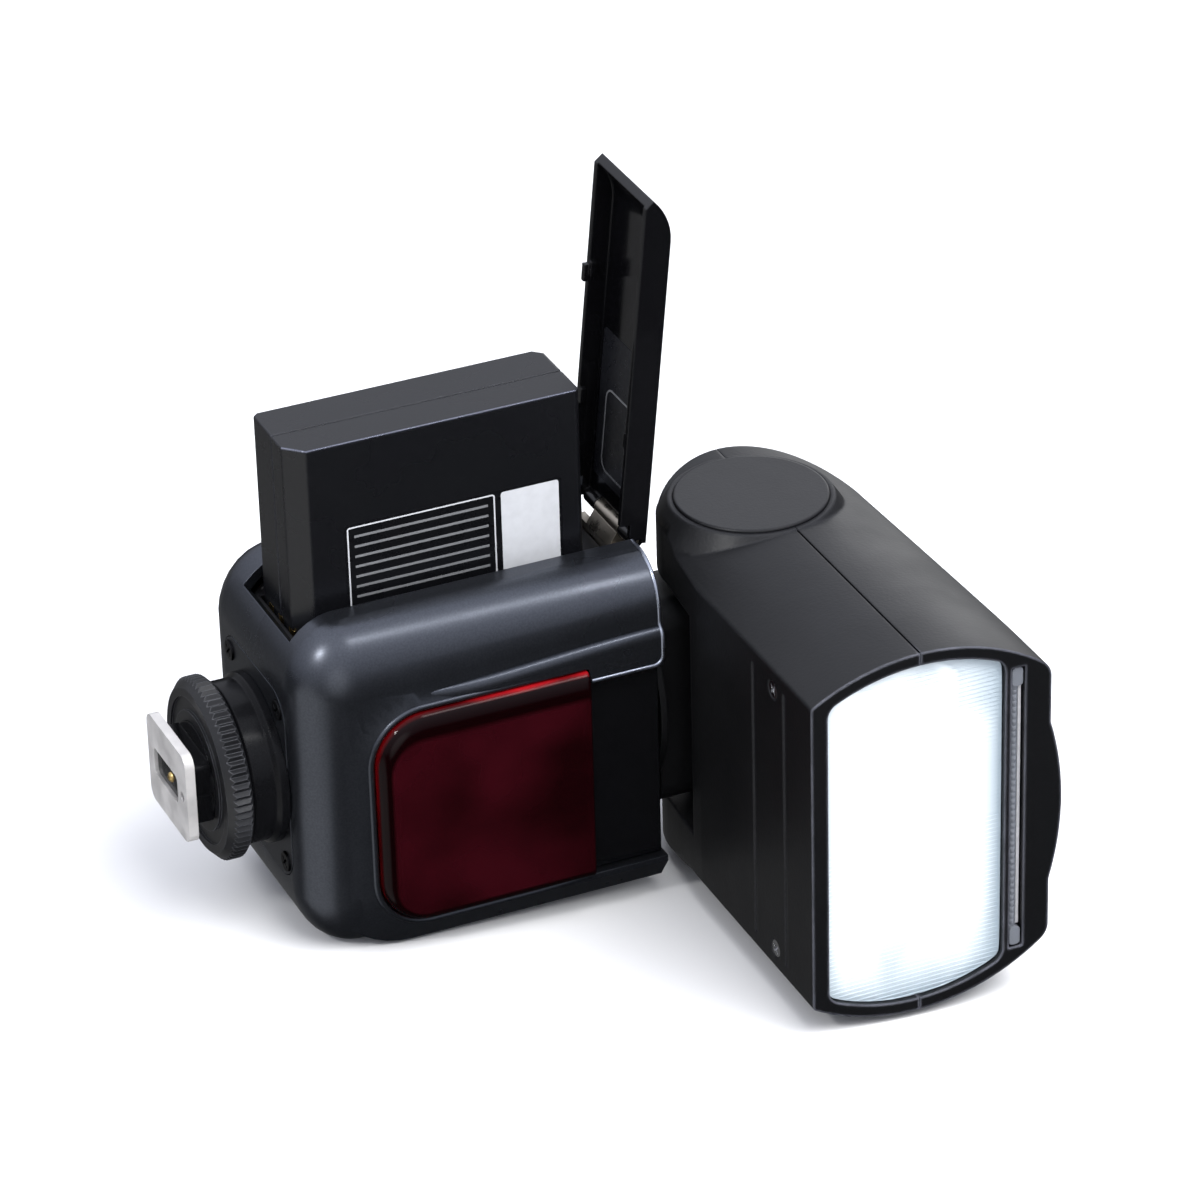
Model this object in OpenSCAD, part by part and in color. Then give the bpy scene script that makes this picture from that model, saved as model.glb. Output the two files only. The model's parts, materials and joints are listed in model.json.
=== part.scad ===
// Speedlight flash lying on its side, with the battery half drawn out and its door open.
// Millimetres. +X runs from the shoe foot to the head, -Y is the front, +Z is the battery door's side.
// Depths named v are measured towards the front, so v = -Y. The origin is on the foot's outer face.

/* [Shoe foot] */
// Width of the foot plate across the shoe rails
foot_w = 18.6; // [18.2:0.1:18.8]
// Length of the foot plate along the shoe rails
foot_l = 20.5; // [18.5:0.5:22]
// Thickness of the foot plate
foot_t = 1.9; // [1.6:0.1:2.2]
// Space between the foot plate and the lock ring for the shoe rails
rail_gap = 3.9; // [3.2:0.1:4.8]
// Width of the stem that runs between the rails
stem_w = 12.4; // [11:0.1:12.6]
// Radius of the foot's spindle, on which the lock ring turns
spindle_r = 9.6; // [9.3:0.1:11]
// Outer radius of the knurled lock ring
ring_r = 17.6; // [16.5:0.1:19]
// Thickness of the lock ring
ring_t = 4.9; // [4:0.1:6]
// Number of teeth round the lock ring
ring_teeth = 72; // [48:1:84]
// Radius of the collar between the lock ring and the body
collar_r = 15.6; // [14.6:0.1:16.2]
// Length of the collar
collar_l = 7; // [5:0.5:10]
// Radius of the centre contact
contact_r = 1.1; // [0.8:0.1:1.5]
// Radius of the locking pin
lock_pin_r = 1; // [0.8:0.05:1.1]

/* [Body] */
// Length of the body from the base plate to the swivel
body_l = 72; // [70:1:84]
// Half of the body's width, door side to port side
body_hw = 34.2; // [33:0.2:36]
// Depth of the body in front of the foot's axis
body_front = 24.2; // [23.4:0.2:27]
// Depth of the body behind the foot's axis
body_back = 26; // [25:0.2:29]
// Wall of the two body shells
wall = 2; // [1.6:0.1:2.2]
// Height of the soft frame round the window above the front face
frame_h = 0.9; // [0.6:0.1:1.6]
// Length of the red window
window_l = 43; // [36:1:44]

/* [Battery and door] */
// Length of the body that the battery pack leaves free
batt_room = 14.5; // [14.5:0.5:22]
// Thickness of the battery pack
batt_t = 18.2; // [16:0.2:18.6]
// Width of the body that the battery pack leaves free, along its slide
batt_floor = 24.4; // [23.4:0.2:28.4]
// Height of the drawn battery's lower end above the seated battery's top
batt_lift = 5.3; // [-2:0.1:5.5]
// Depth of the seated battery's top below the body's side
batt_seat = 17.2; // [17:0.1:19]
// Width of the door
door_w = 23; // [21.6:0.2:24]
// Thickness of the door's skin
door_t = 1.8; // [1.4:0.1:2.2]
// Depth of the door's side walls
door_wall_h = 5.6; // [4.6:0.1:6]
// Angle of the door as drawn, from closed
door_open = 96; // [92:1:97]
// Radius of the door's hinge pin
hinge_pin_r = 0.8; // [0.6:0.05:1]

/* [Neck] */
// Height of the tilt axis above the body's end
pivot_h = 24; // [23.5:0.5:28]
// Distance of the tilt axis in front of the foot's axis
pivot_v = 13; // [12:0.5:14]
// Radius of the neck's barrel
barrel_r = 13; // [11.5:0.1:13.4]
// Half of the barrel's length, between the head's ears
barrel_hl = 23.7; // [20:0.1:25]
// Radius of the tilt pins
tilt_pin_r = 4; // [3:0.1:5]
// Radius of the swivel's spindle
swivel_r = 14; // [12:0.1:15]

/* [Head] */
// Gap between the body's end and the underside of the head
head_gap = 4.3; // [3.8:0.1:6]
// Height of the head's front, underside to top
head_h = 48.2; // [47:0.2:52]
// Height of the shells' seam above the underside
seam_h = 21.7; // [20:0.1:24]
// Reach of the head's front from the tilt axis
head_reach = 66.4; // [64:0.2:74]
// Half of the head's width at the seam
head_hw = 38; // [37.4:0.2:40]
// Distance of each bulged side's centre beyond the head's middle
side_off = 3.6; // [2:0.2:10]
// Wall of the head's shells
head_wall = 2; // [1.6:0.1:2.2]
// Radius of the round caps over the tilt axis
cap_r = 14.7; // [12:0.1:15.4]
// Height of the lens, underside to top
lens_h = 35.4; // [30:0.1:35.6]
// Pitch of the lens's grooves
lens_pitch = 1.8; // [1.2:0.1:3]
// Length of the wide panel and the bounce card
panel_l = 38; // [32:0.5:39]
// Travel of the zoom carriage, from the lens back to the motor
zoom_travel = 18; // [12:0.5:18.5]

/* [Rear controls] */
// Length of the rear face that the dial and the keys take
controls_l = 44; // [43:0.5:50]
// Rear face left free on each side of the display
lcd_margin = 9.2; // [8.2:0.1:14.2]
// Radius of the select dial
dial_r = 11; // [9.5:0.1:11.4]
// Radius of the set button inside the dial
set_r = 5.8; // [4.5:0.1:6.4]

/* [Hidden] */
$fn = 64;
// Clearances: between moving faces, round a shaft, between fitted pieces
play = 0.3;
run = 0.05;
fit = 0.12;

x_ring = foot_t + rail_gap;
x_collar = x_ring + ring_t + play;
x_base = x_collar + collar_l;
x_end = x_base + body_l;

// Foot plate's slot, contact island and locking pin
slot_l = 12.5;
slot_w = 5.8;
slot_y = 1;
stem_l = foot_l - 3;
island_x = 0.7;
lock_pin_y = -7.6;
lock_pin_tip = 0.2;
contact_l = 8;
ring_tooth = 0.7;
ring_chamfer = 1;
collar_lip = 0.8;

// Base plate on the shoe end and its screws
base_t = 1.2;
base_hy = 15.4;
base_hz = body_hw - 14.2;
base_r = 6;
screw_y = 12.2;
screw_z = base_hz - 3.6;
screw_head_r = 1.9;
screw_shank_r = 0.9;
screw_l = 4;

// Rounding of the body at the shoe end along X, Y and Z, and at the swivel end
round_x = 12;
round_y = 9.6;
round_z = 14;
round_end = 9.5;

// Window recess, measured on the front face
window_x = x_base + 13.6;
window_z0 = -body_hw + 6.7;
window_z1 = body_hw - 17.4;
window_r = 10;
strip_z1 = window_z1 - 2.9;
recess_d = 2.7;
recess_v = body_front - recess_d;
recess_gap = 0.3;
window_v = body_front + 3.4;
window_rise = 2.6;
window_side = 2.8;
window_brow = 5.4;
window_foot = 2.4;
window_skin = 1.6;
pocket_x = 7;
pocket_z = 5;
pocket_end = 2;
lamp_at = 19;
lamp_z = -4;
lamp_r = 4;
lamp_lens_r = 2.6;
lamp_t = 0.95;
sensor_at = 32.5;
sensor_z = -14.5;
sensor_w = 5;
sensor_t = 1.4;
strip_x = window_x + window_l + 0.3;
strip_l = x_end - strip_x - 0.6;
strip_t = 1.8;
frame_out = 8;
frame_d = 2.6;
frame_lip = 1.5;
frame_x0 = window_x - frame_lip;
frame_z0 = window_z0 - frame_lip;
frame_r = window_r + frame_lip;

// Battery bay
bay_play = 0.4;
bay_wall = 1.2;
bay_chamfer = 1.5;
batt_l = body_l - batt_room;
batt_h = 2 * body_hw - batt_floor;
batt_out = batt_h + batt_lift;
batt_x0 = x_base + 6;
batt_x1 = batt_x0 + batt_l;
bay_x0 = batt_x0 - bay_play;
bay_x1 = batt_x1 + bay_play;
bay_hv = batt_t / 2 + bay_play;
seat_z = body_hw - batt_seat;
batt_z1 = seat_z + batt_out;
batt_z0 = batt_z1 - batt_h;
bay_z0 = seat_z - batt_h - bay_play;
rim_z = body_hw - door_wall_h - 2 * play;
rim_t = 1.5;
well_hv = door_w / 2 + play;
well_top = body_hw - wall - play;
well_slope = 6.4;
well_x0 = x_base + wall + 3;
well_x1 = x_end - wall - 0.2;
contact_count = 3;
contact_pitch = 5;
contact_w = 2.6;
contact_t = 0.9;
contact_z = bay_z0 + 3;
contact_h = 4;

// Battery pack
batt_skin = 1.2;
batt_chamfer = 3.5;
batt_edge = 0.9;
batt_seam_y = -0.6;
batt_seam = 0.25;
cell_count = 3;

// Door and hinge
knuckle_r = 1.6;
hinge_x = x_end + 1.3;
hinge_z = body_hw - knuckle_r;
knuckle_in = 5.2;
knuckle_out = 10.2;
bracket_t = 1.7;
bracket_hv = 9.6;
bracket_drop = 3;
door_wall_t = 1.2;
door_tip = 135;
door_steps = 7;
hinge_cut = 4;
latch_at = x_base + 27;
latch_l = 3.4;
latch_d = 0.9;
hook_l = 3;
hook_d = 0.8;
hook_t = 1.2;
hook_x = [26, 52];
hook_v = door_w / 2 - door_wall_t - hook_d / 2 + 0.1;

// Rear controls
lcd_h = body_l - controls_l;
lcd_w = 2 * (body_hw - lcd_margin);
lcd_x = x_end - 4.6 - lcd_h / 2;
lcd_t = 1.8;
lcd_module_t = 3.6;
key_x = lcd_x - lcd_h / 2 - 5;
key_pitch = 0.24 * lcd_w;
key_h = 5;
key_w = 8.6;
key_proud = 1;
key_r = 1.6;
dial_x = x_base + 19.5;
dial_sink = 1.4;
dial_proud = 3;
dial_neck_r = set_r + 1.9;
dial_notches = 36;
pilot_z = body_hw - 13.7;
pilot_r = 4;
switch_z = -pilot_z;
switch_slot_l = 11;
switch_w = 4.4;
switch_knob_l = 5.6;
switch_x = dial_x - 1.5;
switch_lip = 1;
switch_lip_l = 10;
switch_drop = 0.8;
board_t = 1.6;
board_y = 17.5;
board_hz = body_hw - 6.2;
post_r = 1.5;
post_z = board_hz - 1.8;

// Ports on the side that lies down
port_y = 14;
port_w = 5.6;
port_x0 = x_base + 22;
port_l = 24;
port_d = 9;
flap_w = 7;
flap_l = 27;
flap_t = 1.4;
flap_y = port_y - flap_w / 2 + flap_t / 2;
flap_x = port_x0 - 1.5;
jack_r = 1.75;
socket_l = 8.4;
socket_w = 2.6;

// Capacitors in the front of the body
capacitor_count = 4;
capacitor_pitch = 9.4;
capacitor_r = 4.1;
capacitor_x = 12;
capacitor_l = body_l - capacitor_x - 14;
capacitor_z = -body_hw + 13.2;

// Swivel and neck
bearing_r = swivel_r + 6;
bearing_t = 4;
disc_r = swivel_r + 8.8;
disc_t = 1.3;
clip_t = 1.2;
clip_r = swivel_r + 2.5;
pivot_x = x_end + pivot_h;
stem_hz = barrel_hl - 2.2;
stem_r = 5;
stem_v0 = 0.5;
stem_v1 = 19;
x_disc = x_end + play;
x_neck = x_disc + disc_t;
cable_r = 8;
neck_cable_r = 4;
neck_cable_v = 5.5;
tilt_pin_in = 6;
tilt_pin_z = head_hw - 6;

// Head
head_x0 = x_end + head_gap;
head_x1 = head_x0 + head_h;
seam_x = head_x0 + seam_h;
head_v = pivot_v + head_reach;
side_r = head_hw + side_off;
ear_low_r = pivot_x - head_x0 - 1.7;
ear_top_r = 20.5;
ear_top_x = pivot_x + 2.5;
ear_top_v = pivot_v + 0.8;
ear_gap = barrel_hl + play;
slot_r = barrel_r + 0.5;
slot_front = pivot_v + slot_r;
cave_v0 = slot_front + head_wall;
front_wall = 2.5;
cave_v1 = head_v - front_wall;
seam_gap = 0.1;
boss_r = cap_r + 1;
boss_flare = 4;
boss_l = 6;
corner_r = 4;
boss_z = head_hw + 0.2;
cap_sink = 1.2;
cap_proud = 0.5;
lens_x0 = head_x0 + 3.4;
lens_x1 = lens_x0 + lens_h;
lens_in = 2.6;
lens_r = 3;
lens_sunk = 1.2;
lens_t = 3;
lens_rim = 0.5;
lens_face = head_v - lens_sunk;
lens_back = lens_face - lens_t;
lens_flat = 3.6;
lens_tooth = 0.4;
lens_teeth = ceil((head_hw - lens_flat) / lens_pitch);
panel_x = lens_x1 + 1.6;
panel_t = 1.3;
card_t = 0.6;
panel_gap = 0.3;
panel_edge = 2.7;
panel_sunk = 0.8;
card_sunk = 1.2;
knob_l = 3.8;
knob_d = 3.2;
knob_proud = 0.4;
knob_r = 0.7;
panel_stack = panel_t + panel_gap + card_t;
panel_far = panel_x + panel_stack - seam_x;
panel_hw = sqrt(side_r * side_r - panel_far * panel_far) - side_off - panel_edge;
card_hw = panel_hw - knob_l - play;
lip_h = 2.4;
lip_l = 9;
lip_r = 60;
lip_hw = sqrt(lip_r * lip_r - pow(lip_r - lip_h, 2)) - 0.1;
groove_v = [head_v - 24.4, head_v - 11.4];
groove_w = 0.9;
groove_d = 0.4;
groove_hz = head_hw - 9;

// Zoom assembly
mirror_x = seam_x + 0.5;
mirror_hh = 13;
mirror_d = 18;
mirror_v = cave_v1 - 6;
mirror_t = 0.8;
mirror_hw = head_hw - 11;
tube_r = 2.3;
tube_v = mirror_v - mirror_d + mirror_hh * mirror_hh / (4 * mirror_d) + 2;
tube_hw = head_hw - 7;
rod_r = 1;
rod_z_out = head_hw - 16;
screw_r = 1.3;
carriage_x = head_x0 + 5.6;
carriage_l = 4;
carriage_v = mirror_v - carriage_l;
carriage_hh = 2.4;
motor_r = 3.2;
motor_l = carriage_v - zoom_travel - 2 * play - cave_v0;
head_screw_z = head_hw - 10.2;
head_screw_v = head_v - 16;
head_screw_r = 1.7;
trigger_x0 = head_x0 + 11;
trigger_x1 = seam_x + 12;
trigger_hz = head_hw - 18;
trigger_t = 1.2;

// Extrusions: an XZ profile from depth v0 to v1, a YZ profile along X, an XY profile along Z
module from_front(v0, v1) translate([0, -v0, 0]) rotate([90, 0, 0]) linear_extrude(v1 - v0) children();
module from_end(x0, x1) translate([x0, 0, 0]) rotate([90, 0, 90]) linear_extrude(x1 - x0) children();
module from_side(z0, z1) translate([0, 0, z0]) linear_extrude(z1 - z0) children();

module rod_x(x0, x1, r) translate([x0, 0, 0]) rotate([0, 90, 0]) cylinder(h = x1 - x0, r = r);
module rod_y(y0, y1, r) translate([0, y0, 0]) rotate([-90, 0, 0]) cylinder(h = y1 - y0, r = r);
module rod_z(z0, z1, r) translate([0, 0, z0]) cylinder(h = z1 - z0, r = r);

// Turned shape about X: points are [radius, distance along X]
module turned_x(x0, points) translate([x0, 0, 0]) rotate([0, 90, 0]) rotate_extrude() polygon(points);

module box(x0, x1, y0, y1, z0, z1) translate([x0, y0, z0]) cube([x1 - x0, y1 - y0, z1 - z0]);

module rect(x0, y0, x1, y1) translate([x0, y0]) square([x1 - x0, y1 - y0]);

module rounded(w, h, r) {
    square([w - 2 * r, h], center = true);
    square([w, h - 2 * r], center = true);
    for (sx = [-1, 1], sy = [-1, 1])
        translate([sx * (w / 2 - r), sy * (h / 2 - r)]) circle(r);
}

module rounded_at(x0, y0, x1, y1, r)
    translate([(x0 + x1) / 2, (y0 + y1) / 2]) rounded(x1 - x0, y1 - y0, r);

// Body: one rounded form, g inside its outer face, and the frame that swells round the window
module body_form(g) hull() {
    for (side = [-1, 1], y = [-body_front + round_y, body_back - round_y])
        translate([x_base + round_x, y, side * (body_hw - round_z)])
            scale([round_x - g, round_y - g, round_z - g]) sphere(1, $fn = 36);
    for (side = [-1, 1], y = [-body_front + round_end, body_back - round_end])
        translate([x_end - g - 0.1, y, side * (body_hw - round_end)])
            rotate([0, 90, 0]) cylinder(h = 0.1, r = round_end - g, $fn = 36);
}

module frame_swell(x0, x1, top) intersection() {
    hull() {
        from_front(body_front - frame_d, body_front - frame_d + 0.1)
            rounded_at(frame_x0 - frame_out, -body_hw + 0.4, x_end + 30, top + frame_out, frame_r + 5,
                $fn = 40);
        from_front(body_front + frame_h - 0.1, body_front + frame_h)
            rounded_at(frame_x0, frame_z0, x_end + 30, top, frame_r, $fn = 40);
    }
    box(x0, x1, -body_front - frame_h - 1, 0, -body_hw, body_hw);
}

// The frame steps down beside the window, where the strip is lower
module window_frame() {
    frame_swell(x_base, strip_x, window_z1 + frame_lip);
    frame_swell(strip_x - 0.1, x_end, strip_z1 + frame_lip);
}

module window_outline(g) intersection() {
    rounded_at(window_x - g, window_z0 - g, x_end + 30, window_z1 + g, window_r + g);
    rect(window_x - g, window_z0 - g, window_x + window_l + g, window_z1 + g);
}

module strip_outline(g)
    rect(strip_x - g, window_z0 - g, strip_x + strip_l + g, strip_z1 + g);

module window_recess() {
    window_outline(recess_gap);
    strip_outline(recess_gap);
    rect(strip_x + strip_l, window_z0 - recess_gap, x_end + 1, strip_z1 + recess_gap);
}

module body_skin() difference() {
    union() {
        difference() {
            union() {
                body_form(0);
                window_frame();
            }
            body_form(wall);
        }
        from_front(recess_v - wall, recess_v + 0.2)
            rect(window_x - 2, window_z0 - 2, x_end - wall, window_z1 + 2);
    }
    from_front(recess_v, body_front + 5) window_recess();
    from_front(-well_hv, well_hv) door_hole();
    from_end(x_base - 1, x_base + base_t) rounded(2 * (base_hy + fit), 2 * (base_hz + fit), base_r);
    rod_x(x_end - bearing_t - fit, x_end + 1, bearing_r + fit);
    for (sy = [-1, 1], sz = [-1, 1])
        translate([0, sy * screw_y, sz * screw_z]) rod_x(x_base, x_base + wall + 1, screw_shank_r + fit);
}

module front_shell() color("#3d4147") intersection() {
    body_skin();
    box(x_base - 1, x_end + 1, -body_front - 10, -seam_gap / 2, -body_hw - 1, body_hw + 1);
}

module rear_shell() color("#34373c") {
    difference() {
        intersection() {
            body_skin();
            box(x_base - 1, x_end + 1, seam_gap / 2, body_back + 10, -body_hw - 1, body_hw + 1);
        }
        translate([0, body_back + 1, 0]) from_front(0, 1 + lcd_t + fit)
            lcd_outline(fit);
        translate([0, body_back, 0]) from_front(0, wall + 1) lcd_outline(-2);
        for (i = [0:3])
            translate([key_x, body_back + 1, key_place(i)]) from_front(0, wall + 2)
                rounded(key_h + 2 * play, key_w + 2 * play, key_r);
        translate([dial_x, 0, 0]) {
            rod_y(body_back - dial_sink, body_back + 1, dial_r + play);
            rod_y(body_back - wall - 1, body_back + 1, dial_neck_r + run);
            translate([0, 0, pilot_z]) rod_y(body_back - wall - 1, body_back + 1, pilot_r + play);
        }
        translate([switch_x, body_back + 1, switch_z]) from_front(0, wall + 2)
            rounded(switch_slot_l, switch_w + 2 * play, 0.6);
        box(flap_x - play, flap_x + flap_l + play, port_y - flap_w / 2 - play,
            port_y + flap_w / 2 + play, -body_hw - 1, -body_hw + flap_t + fit);
        box(port_x0, port_x0 + port_l, port_y - port_w / 2, port_y + port_w / 2, -body_hw - 1,
            -body_hw + wall + 1);
    }
    for (x = [x_base + 14, x_end - 12], side = [-1, 1])
        translate([x, 0, side * post_z]) rod_y(board_y + board_t, body_back - wall + 0.05, post_r);
}

module base_plate() color("#2f3237") difference() {
    from_end(x_base, x_base + base_t) rounded(2 * base_hy, 2 * base_hz, base_r);
    for (sy = [-1, 1], sz = [-1, 1])
        translate([0, sy * screw_y, sz * screw_z]) {
            rod_x(x_base - 1, x_base + 0.6, screw_head_r + fit);
            rod_x(x_base - 1, x_base + 4, screw_shank_r + fit);
        }
}

module base_screws() color("#1b1c1e")
    for (sy = [-1, 1], sz = [-1, 1])
        translate([x_base, sy * screw_y, sz * screw_z]) difference() {
            union() {
                rod_x(-0.4, 0.6, screw_head_r);
                rod_x(0.6, screw_l, screw_shank_r);
            }
            for (turn = [45, 135]) rotate([turn, 0, 0]) box(-1, 0.1, -0.25, 0.25, -1.3, 1.3);
        }

// Shoe foot
module foot_plate() color("silver") difference() {
    from_end(0, foot_t) rounded(foot_l, foot_w, 2.4);
    from_end(-1, foot_t + 1) translate([slot_y, 0]) rounded(slot_l, slot_w, 1.2);
    translate([0, lock_pin_y, 0]) rod_x(-1, foot_t + 1, lock_pin_r + run);
}

module foot_block() color("#161719") difference() {
    union() {
        from_end(foot_t, x_ring - play) rounded(stem_l, stem_w, 1);
        rod_x(x_ring - play, x_base, spindle_r);
        from_end(island_x, foot_t) translate([slot_y, 0])
            rounded(slot_l - 2 * fit, slot_w - 2 * fit, 1.1);
    }
    rod_x(-1, contact_l + 2, contact_r + run);
    translate([0, lock_pin_y, 0]) rod_x(-1, x_base - 1, lock_pin_r + run);
}

module lock_ring() color("#1d1e20") difference() {
    intersection() {
        from_end(x_ring, x_ring + ring_t)
            polygon([for (i = [0:2 * ring_teeth - 1])
                let (r = ring_r - (i % 2) * ring_tooth, a = i * 180 / ring_teeth) [r * cos(a), r * sin(a)]]);
        turned_x(x_ring, [[0, 0], [ring_r - ring_tooth - ring_chamfer, 0],
            [ring_r + 0.1, ring_chamfer + ring_tooth], [ring_r + 0.1, ring_t - ring_chamfer],
            [ring_r - ring_chamfer, ring_t], [0, ring_t]]);
    }
    rod_x(x_ring - 1, x_ring + ring_t + 1, spindle_r + run);
    turned_x(x_ring, [[spindle_r + 2, -1], [ring_r - 3.4, -1], [ring_r - 3.4, 0.5], [spindle_r + 2, 0.5]]);
}

module foot_collar() color("#141517")
    turned_x(x_collar, [[spindle_r + run, 0], [collar_r - 0.6, 0], [collar_r, 0.6],
        [collar_r, collar_l - 2.4], [collar_r + collar_lip, collar_l - 1.6],
        [collar_r + collar_lip, collar_l], [spindle_r + run, collar_l]]);

module locking_pin() color("#c8c8c8")
    translate([0, lock_pin_y, 0]) rod_x(lock_pin_tip, x_ring + ring_t, lock_pin_r);

module centre_contact() color("#d8c070") {
    rod_x(contact_r, contact_l, contact_r);
    translate([contact_r, 0, 0]) sphere(contact_r);
}

// Front of the body
module red_window() color("#7a0d14", 0.8) difference() {
    hull() {
        from_front(recess_v, window_v - window_rise) window_outline(0, $fn = 48);
        from_front(window_v - 0.1, window_v) intersection() {
            rounded_at(window_x + window_side, window_z0 + window_foot, x_end + 30,
                window_z1 - window_brow, window_r - window_brow / 2 - window_side / 2, $fn = 48);
            rect(window_x, window_z0, window_x + window_l, window_z1);
        }
    }
    from_front(recess_v - 1, window_v - window_skin)
        rect(window_x + pocket_x, window_z0 + pocket_z, window_x + window_l - pocket_end,
            window_z1 - pocket_z);
}

module front_strip() color("#101113") from_front(recess_v, recess_v + strip_t) strip_outline(0);

module focus_lamp() color("#e8d8d0") translate([window_x + lamp_at, 0, lamp_z]) {
    rod_y(-recess_v - lamp_t, -recess_v, lamp_r);
    rod_y(-recess_v - 2 * lamp_t, -recess_v - lamp_t, lamp_lens_r);
}

module slave_sensor() color("#202020") from_front(recess_v, recess_v + sensor_t)
    translate([window_x + sensor_at, sensor_z]) rounded(sensor_w, sensor_w, 0.6);

module flash_capacitors() color("#23262b")
    for (i = [0:capacitor_count - 1])
        translate([x_base + capacitor_x, -bay_hv - bay_wall - fit - capacitor_r,
            capacitor_z + i * capacitor_pitch])
            rod_x(0, capacitor_l, capacitor_r);

// Battery bay: a tray with a door well above its mouth
module battery_bay() color("#0d0e0f") difference() {
    union() {
        from_front(-bay_hv - bay_wall, bay_hv + bay_wall) let (x0 = bay_x0 - bay_wall, z0 = bay_z0 - bay_wall)
            polygon([[x0, z0 + bay_chamfer], [x0 + bay_chamfer, z0], [bay_x1 + bay_wall, z0],
                [bay_x1 + bay_wall, rim_z], [x0, rim_z]]);
        from_front(-well_hv - bay_wall, well_hv + bay_wall)
            polygon([[well_x0, rim_z - rim_t], [well_x1, rim_z - rim_t], [well_x1, well_top],
                [well_x0 + well_slope, well_top]]);
    }
    box(bay_x0, bay_x1, -bay_hv, bay_hv, bay_z0, body_hw + 1);
    box(well_x0 - 1, x_end, -well_hv, well_hv, rim_z, body_hw + 1);
    box(latch_at - latch_l / 2 - play, latch_at + latch_l / 2 + play, door_w / 2 - 2 * door_wall_t, well_hv,
        rim_z - latch_d, rim_z + 1);
    for (i = [0:contact_count - 1])
        box(bay_x0 - bay_wall - 1, bay_x0 + 1, contact_place(i) - contact_w / 2 - fit,
            contact_place(i) + contact_w / 2 + fit, contact_z - fit, contact_z + contact_h + fit);
}

module bay_contacts() color("gold")
    for (i = [0:contact_count - 1])
        box(bay_x0 - bay_wall, bay_x0 - bay_wall + contact_t, contact_place(i) - contact_w / 2,
            contact_place(i) + contact_w / 2, contact_z, contact_z + contact_h);

function contact_place(i) = (i - (contact_count - 1) / 2) * contact_pitch;
function key_place(i) = (i - 1.5) * key_pitch;

module main_board() color("#14442a")
    box(x_base + 10, x_end - 8, board_y, board_y + board_t, -board_hz, board_hz);

// Rear controls
module lcd_outline(g) translate([lcd_x, 0]) rounded(lcd_h + 2 * g, lcd_w + 2 * g, g < 0 ? 1 : 2);

module lcd_window() color("#39443d", 0.8) translate([0, body_back, 0]) from_front(0, lcd_t) lcd_outline(0);

module lcd_module() color("#7d8f78")
    translate([0, body_back - lcd_t - fit, 0]) from_front(0, lcd_module_t)
        rect(lcd_x - lcd_h / 2 + 2.4, -lcd_w / 2 + 2.4, lcd_x + lcd_h / 2 - 2.4, lcd_w / 2 - 2.4);

module function_key(i) color("#202225")
    translate([key_x, body_back + key_proud, key_place(i)]) from_front(0, key_proud + wall + 1.6)
        rounded(key_h, key_w, key_r);

module select_dial() color("#1a1b1d") translate([dial_x, 0, 0]) difference() {
    union() {
        rod_y(body_back - dial_sink + play, body_back + dial_proud, dial_r);
        rod_y(body_back - wall - 1.6, body_back, dial_neck_r);
    }
    rod_y(body_back - wall - 3, body_back + dial_proud + 1, set_r + run);
    rod_y(body_back + dial_proud - 0.8, body_back + dial_proud + 1, dial_r - 3);
    for (i = [0:dial_notches - 1])
        rotate([0, i * 360 / dial_notches, 0]) translate([dial_r + 0.35, 0, 0])
            rod_y(body_back + 0.6, body_back + dial_proud + 1, 0.7);
}

module set_button() color("#2a2c30") translate([dial_x, 0, 0])
    rod_y(body_back - wall - 1.2, body_back + dial_proud + 0.2, set_r);

module pilot_button() color("#3a1618") translate([dial_x, 0, pilot_z])
    rod_y(body_back - wall - 1.2, body_back + key_proud, pilot_r);

module power_switch() color("#202225") translate([switch_x, 0, switch_z]) {
    y = body_back - wall - switch_drop;
    box(-switch_knob_l / 2, switch_knob_l / 2, y, body_back + 1.2, -switch_w / 2, switch_w / 2);
    box(-switch_lip_l / 2, switch_lip_l / 2, y - 1, y, -switch_w / 2 - switch_lip, switch_w / 2 + switch_lip);
}

// Port side
module port_cover() color("#151515") {
    from_side(-body_hw, -body_hw + flap_t) {
        rounded_at(flap_x, flap_y, flap_x + flap_l, port_y + flap_w / 2, 1.5);
        rect(flap_x, flap_y, flap_x + flap_l, port_y);
    }
    translate([0, flap_y, -body_hw + flap_t / 2]) rod_x(flap_x, flap_x + flap_l, flap_t / 2);
}

module port_block() color("#1c1d1f") difference() {
    box(port_x0 + fit, port_x0 + port_l - fit, port_y - port_w / 2 + fit, port_y + port_w / 2 - fit,
        -body_hw + flap_t + play, -body_hw + port_d);
    translate([port_x0 + 5, port_y, 0]) rod_z(-body_hw - 1, -body_hw + port_d - 1.5, jack_r);
    box(port_x0 + 11, port_x0 + 11 + socket_l, port_y - socket_w / 2, port_y + socket_w / 2,
        -body_hw - 1, -body_hw + port_d - 2);
}

// Door: its profile follows the body's side and wraps round the shoe end, closed, g inside the outer face
function body_curve(g, a) = [x_base + round_x + (round_x - g) * cos(a),
    body_hw - round_z + (round_z - g) * sin(a)];
function door_curve(g) = concat([[hinge_x, body_hw - g]],
    [for (i = [0:door_steps]) body_curve(g, 90 + (door_tip - 90) * i / door_steps)]);
// Depth at which the door's end, or its hole's end, reaches z, and at least the door's skin
function tip_depth(z, a) = max(door_t, round_z - (z - body_hw + round_z) / sin(a));
function reversed(p) = [for (i = [len(p) - 1:-1:0]) p[i]];

module door_skin() polygon(concat(door_curve(0), reversed(door_curve(door_t))));

module door_wall() polygon(concat(door_curve(0),
    [body_curve(tip_depth(body_hw - door_wall_h, door_tip), door_tip), [hinge_x, body_hw - door_wall_h]]));

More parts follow.
